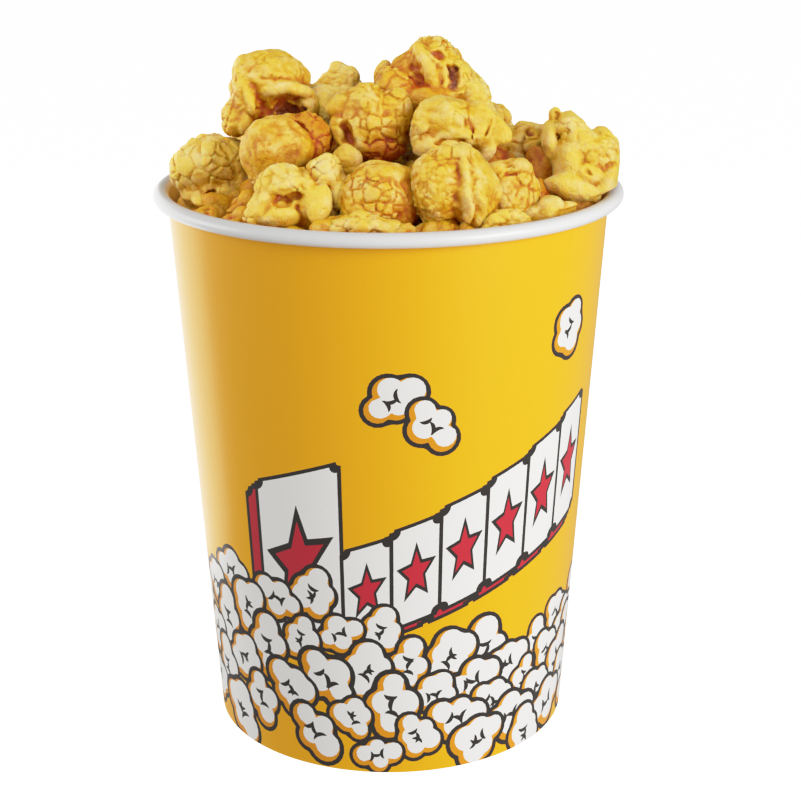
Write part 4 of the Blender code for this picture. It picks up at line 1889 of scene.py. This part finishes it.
@dataclass
class KernelHeap:
    """The popped kernels: the ones in front, one by one, and the crowd under and behind them.

    The bedding lies on the core: a few sculpted kernels, each laid many times.
    """

    front: Sculptor
    crowd: Sculptor
    bedding: Sculptor
    core: HeapCore
    tub: TubShape = field(default_factory=TubShape)
    finish: CheeseCoatedCorn = field(default_factory=CheeseCoatedCorn)
    reach: float = 58.6  # farthest from the axis, above the rim
    soft: float = 1.5  # over which what is pressed in gives way
    open_rise: float = 2.0  # over which the limit widens from the wall's inside to the reach
    # Painted shade: kernels deep in the heap's gaps are given deeper colour.
    buried_shade_tone: float = 0.58
    bed_shade_tone: float = 0.34
    bed_moulds: int = 7
    bed_count: int = 112
    bed_half: float = 6.3
    bed_sizes: Pair = (0.86, 1.08)  # against the mould's
    bed_radius: float = 51.5
    bed_rise: Pair = (1.0, 1.5)  # over the core in the middle, and how much more at its edge
    bed_gaps: tuple[int, ...] = (46, 57)  # left empty, where the heap has deep gaps in front

    def kernels(self) -> list[Kernel]:
        """Every kernel of the heap that has a place of its own.

        Returns:
            The kernels, from the front to the far side.
        """
        made = list(FRONT_KERNELS)
        for index, (x, y, up, half) in enumerate(BURIED_PLACES):
            name, seed = f"buried_{index}", 101 + index
            made.append(plain_kernel(name, Kind.BURIED, (x, y, up), half, seed, self.buried_shade_tone))
        for index, (x, y, up, half) in enumerate(rear_places()):
            made.append(plain_kernel(f"rear_{index}", Kind.REAR, (x, y, up), half, 151 + index))
        return made

    def build(self) -> list[bpy.types.Object]:
        """Sculpt every kernel and join them by kind.

        Returns:
            One piece for each kind.
        """
        material = self.finish.material()
        groups: dict[Kind, list[KernelMesh]] = {kind: [] for kind in Kind}
        for kernel in self.kernels():
            sculptor = self.crowd if kernel.kind in (Kind.BURIED, Kind.REAR) else self.front
            mesh = sculptor.sculpt(kernel)
            mesh.points = self.pressed_in(mesh.points)
            groups[kernel.kind].append(mesh)
        groups[Kind.BEDDED] = self.bedded()
        return [self.joined(kind.value, meshes, material) for kind, meshes in groups.items()]

    def bedded(self) -> list[KernelMesh]:
        """Lay the bedding on the core: a few sculpted kernels, each turned its own way.

        Returns:
            The laid kernels.
        """
        moulds = []
        for index in range(self.bed_moulds):
            name, at = f"bedded_{index}", (0.0, 0.0, -RIM_TOP)
            mould = plain_kernel(name, Kind.BEDDED, at, self.bed_half, 201 + index, self.bed_shade_tone)
            moulds.append(self.bedding.sculpt(mould))
        draws = np.random.default_rng(9)
        laid = []
        for index in range(self.bed_count):
            mould = moulds[index % self.bed_moulds]
            away = self.bed_radius * math.sqrt((index + 0.5) / self.bed_count)
            angle = index * GOLDEN_ANGLE
            rise = self.bed_rise[1] * (away / self.core.edge) ** 2
            up = RIM_TOP + self.core.dome(away) + self.bed_rise[0] + rise
            place = (away * math.cos(angle), away * math.sin(angle), up)
            turned = np.array(Euler(draws.uniform(0.0, TURN, 3), "XYZ").to_matrix())
            points = mould.points @ turned.T * draws.uniform(*self.bed_sizes) + np.array(place)
            if index not in self.bed_gaps:
                laid.append(replace(mould, points=self.pressed_in(points)))
        return laid

    def pressed_in(self, points: np.ndarray) -> np.ndarray:
        """Push what would pass through the tub's wall, or stand out over it, back inside.

        Args:
            points: Places, one row each.

        Returns:
            The places, pushed in.
        """
        away = np.hypot(points[:, 0], points[:, 1])
        inside = self.tub.wall_radius(points[:, 2]) - self.tub.board - GAP
        open_share = np.clip((points[:, 2] - RIM_TOP - GAP) / self.open_rise, 0.0, 1.0)
        limit = np.minimum(inside + (self.reach - inside) * open_share, self.reach)
        over = np.clip(away - (limit - self.soft), 0.0, None)
        eased = limit - self.soft + self.soft * (1.0 - np.exp(-over / self.soft))
        pressed = np.where(over > 0.0, eased, away)
        moved = points.copy()
        moved[:, :2] *= (pressed / np.maximum(away, 1e-6))[:, None]
        return moved

    @staticmethod
    def joined(
        name: str, meshes: Sequence[KernelMesh], material: bpy.types.Material
    ) -> bpy.types.Object:
        """Join sculpted kernels into one piece.

        Args:
            name: The piece's name.
            meshes: The kernels.
            material: Their finish.

        Returns:
            The piece, with its point attributes.
        """
        starts = np.cumsum([0] + [len(mesh.points) for mesh in meshes])
        faces = np.concatenate([mesh.faces + start for mesh, start in zip(meshes, starts)])
        piece = mesh_object(name, np.concatenate([mesh.points for mesh in meshes]), faces, [material])
        for layer in ("cavity", "hull", "tone"):
            point_attribute(piece, layer, np.concatenate([getattr(mesh, layer) for mesh in meshes]))
        return piece


# ---------------------------------------------------------------------------------------------------
# Studio
# ---------------------------------------------------------------------------------------------------


@dataclass(frozen=True)
class LitTable:
    """A white acrylic table lit from below, which leaves only a faint shadow round what stands on it."""

    name: str = "lit_white_acrylic"
    glow: float = 1.45
    colour: str = "#e6e6e6"
    grain: str = "#e2e2e2"

    def material(self) -> bpy.types.Material:
        """Build the material.

        Returns:
            The material.
        """
        material, tree, shader = new_material(self.name)
        grain = add_node(tree, "ShaderNodeTexNoise", {"Scale": 900.0, "Detail": 2.0}).outputs["Fac"]
        blend = {"data_type": "RGBA", 6: linear(self.grain), 7: linear(self.colour)}
        tint = add_node(tree, "ShaderNodeMix", blend, {0: grain}).outputs[2]
        constants = {
            "Roughness": 0.95,
            "Specular IOR Level": 0.1,
            "Emission Color": linear("#ffffff"),
            "Emission Strength": self.glow,
        }
        set_sockets(tree, shader, constants, {"Base Color": tint})
        return material


@dataclass(frozen=True)
class Softbox:
    """A rectangular diffused lamp that faces the tub.

    Its bearing counts from the camera's side round to the right, its rise from level, both in degrees.
    Distances and sizes are in millimetres.
    """

    name: str
    bearing: float
    rise: float
    distance: float
    width: float
    height: float
    glow: float  # brightness of its face, where 1 is paper white
    aim: float = 90.0
    flagged: bool = False  # cards keep it off the tub, so that it lights the popcorn alone

    def build(self) -> None:
        """Hang the lamp."""
        data = bpy.data.lights.new(self.name, "AREA")
        data.shape = "RECTANGLE"
        data.size = self.width * MM
        data.size_y = self.height * MM
        data.energy = self.glow * math.pi * data.size * data.size_y * math.pi
        lamp = bpy.data.objects.new(self.name, data)
        bearing, rise = math.radians(self.bearing), math.radians(self.rise)
        out, up = self.distance * math.cos(rise), self.distance * math.sin(rise)
        place = Vector((out * math.sin(bearing), -out * math.cos(bearing), self.aim + up))
        lamp.location = place * MM
        toward = Vector((0.0, 0.0, self.aim)) - place
        lamp.rotation_euler = toward.to_track_quat("-Z", "Y").to_euler()
        lamp.visible_camera = False
        bpy.context.scene.collection.objects.link(lamp)
        if self.flagged:
            lit = bpy.data.collections.new(f"lit_by_{self.name}")
            for piece in bpy.data.objects:
                if piece.name == "packed_popcorn" or piece.name.endswith("_kernels"):
                    lit.objects.link(piece)
            lamp.light_linking.receiver_collection = lit


SOFTBOXES = (
    Softbox("key", 50.0, 14.0, 900.0, 480.0, 560.0, 3.05),
    Softbox("high_left", -42.0, 50.0, 760.0, 420.0, 420.0, 1.9, flagged=True),
    Softbox("left_fill", -92.0, 12.0, 700.0, 460.0, 420.0, 1.2),
    Softbox("left_panel", -130.0, -2.0, 240.0, 220.0, 300.0, 0.55, 100.0),
)


@dataclass
class Studio:
    """A white table and backdrop, the softboxes and the camera."""

    camera_place: Triple = (0.0, -458.76, 234.78)
    camera_down: float = 18.154
    camera_right: float = 0.355
    camera_roll: float = 0.216
    lens: float = 82.94
    floor_half: float = 3000.0
    surroundings: float = 0.42
    backdrop: float = 2.2
    # Film response, as light against print: straight up to the middle tones, then a soft shoulder
    response: tuple[Pair, ...] = ((0.0, 0.0), (0.34, 0.322), (0.65, 0.628), (1.17, 0.89), (2.0, 1.0))

    def build(self) -> None:
        """Set up the floor, the lights and the camera."""
        half = self.floor_half
        corners = np.array([(-half, -half, 0), (half, -half, 0), (half, half, 0), (-half, half, 0)], float)
        floor = mesh_object("floor", corners, np.array([(0, 1, 2, 3)]), [LitTable().material()])
        floor.visible_glossy = False
        floor.visible_diffuse = False
        for softbox in SOFTBOXES:
            softbox.build()
        self.add_surroundings()
        self.add_camera()
        self.set_response()

    def add_surroundings(self) -> None:
        """A dim room for what reflects it, in front of a white backdrop."""
        world = bpy.data.worlds.new("studio")
        world.use_nodes = True
        tree = world.node_tree
        background = next(node for node in tree.nodes if node.type == "BACKGROUND")
        seen = add_node(tree, "ShaderNodeLightPath").outputs["Is Camera Ray"]
        ends = {3: self.surroundings, 4: self.backdrop}
        strength = add_node(tree, "ShaderNodeMapRange", ends, {0: seen}).outputs[0]
        set_sockets(tree, background, {"Color": linear("#ffffff")}, {"Strength": strength})
        bpy.context.scene.world = world

    def set_response(self) -> None:
        """Give the picture its tone curve."""
        view = bpy.context.scene.view_settings
        view.view_transform = "Standard"
        view.use_curve_mapping = True
        mapping = view.curve_mapping
        mapping.clip_max_x = mapping.clip_max_y = self.response[-1][0]
        curve = mapping.curves[3]
        while len(curve.points) < len(self.response):
            curve.points.new(1.0, 1.0)
        for point, place in zip(curve.points, self.response):
            point.location = place
        mapping.update()

    def add_camera(self) -> None:
        """Aim the camera."""
        data = bpy.data.cameras.new("camera")
        data.lens = self.lens
        data.sensor_width = 36.0
        data.clip_start = 0.02
        data.clip_end = 20.0
        camera = bpy.data.objects.new("camera", data)
        turned = Matrix.Rotation(-math.radians(self.camera_right), 4, "Z")
        turned = turned @ Matrix.Rotation(math.radians(90.0 - self.camera_down), 4, "X")
        turned = turned @ Matrix.Rotation(-math.radians(self.camera_roll), 4, "Z")
        camera.matrix_world = Matrix.Translation(Vector(self.camera_place) * MM) @ turned
        bpy.context.scene.collection.objects.link(camera)
        bpy.context.scene.camera = camera


def main() -> None:
    """Build every piece in order and report it."""
    logging.basicConfig(level=logging.INFO, format="%(name)s: %(message)s")
    heap_core = HeapCore()
    front, crowd, bedding = (Sculptor(fine) for coarse, fine in VOXELS)
    heap = KernelHeap(front, crowd, bedding, heap_core)
    board = BoardShell().build()
    fits_frame(board, "white_board", "sidewall")
    report(board)
    printed = PrintedSheet().build()
    fits_frame(printed, "printed_board")
    report(printed)
    disc = frame["nodes"]["base_disc"]
    disc.data.materials.clear()
    disc.data.materials.append(CoatedBoard("bare_white_board", "#e6e4df", 0.42, 0.10).material())
    core = heap_core.build()
    fits_frame(core, "popcorn", "popcorn_heap")
    report(core)
    for piece in heap.build():
        fits_frame(piece, "popcorn")
        report(piece)
    Studio().build()


if __name__ == "__main__":
    main()
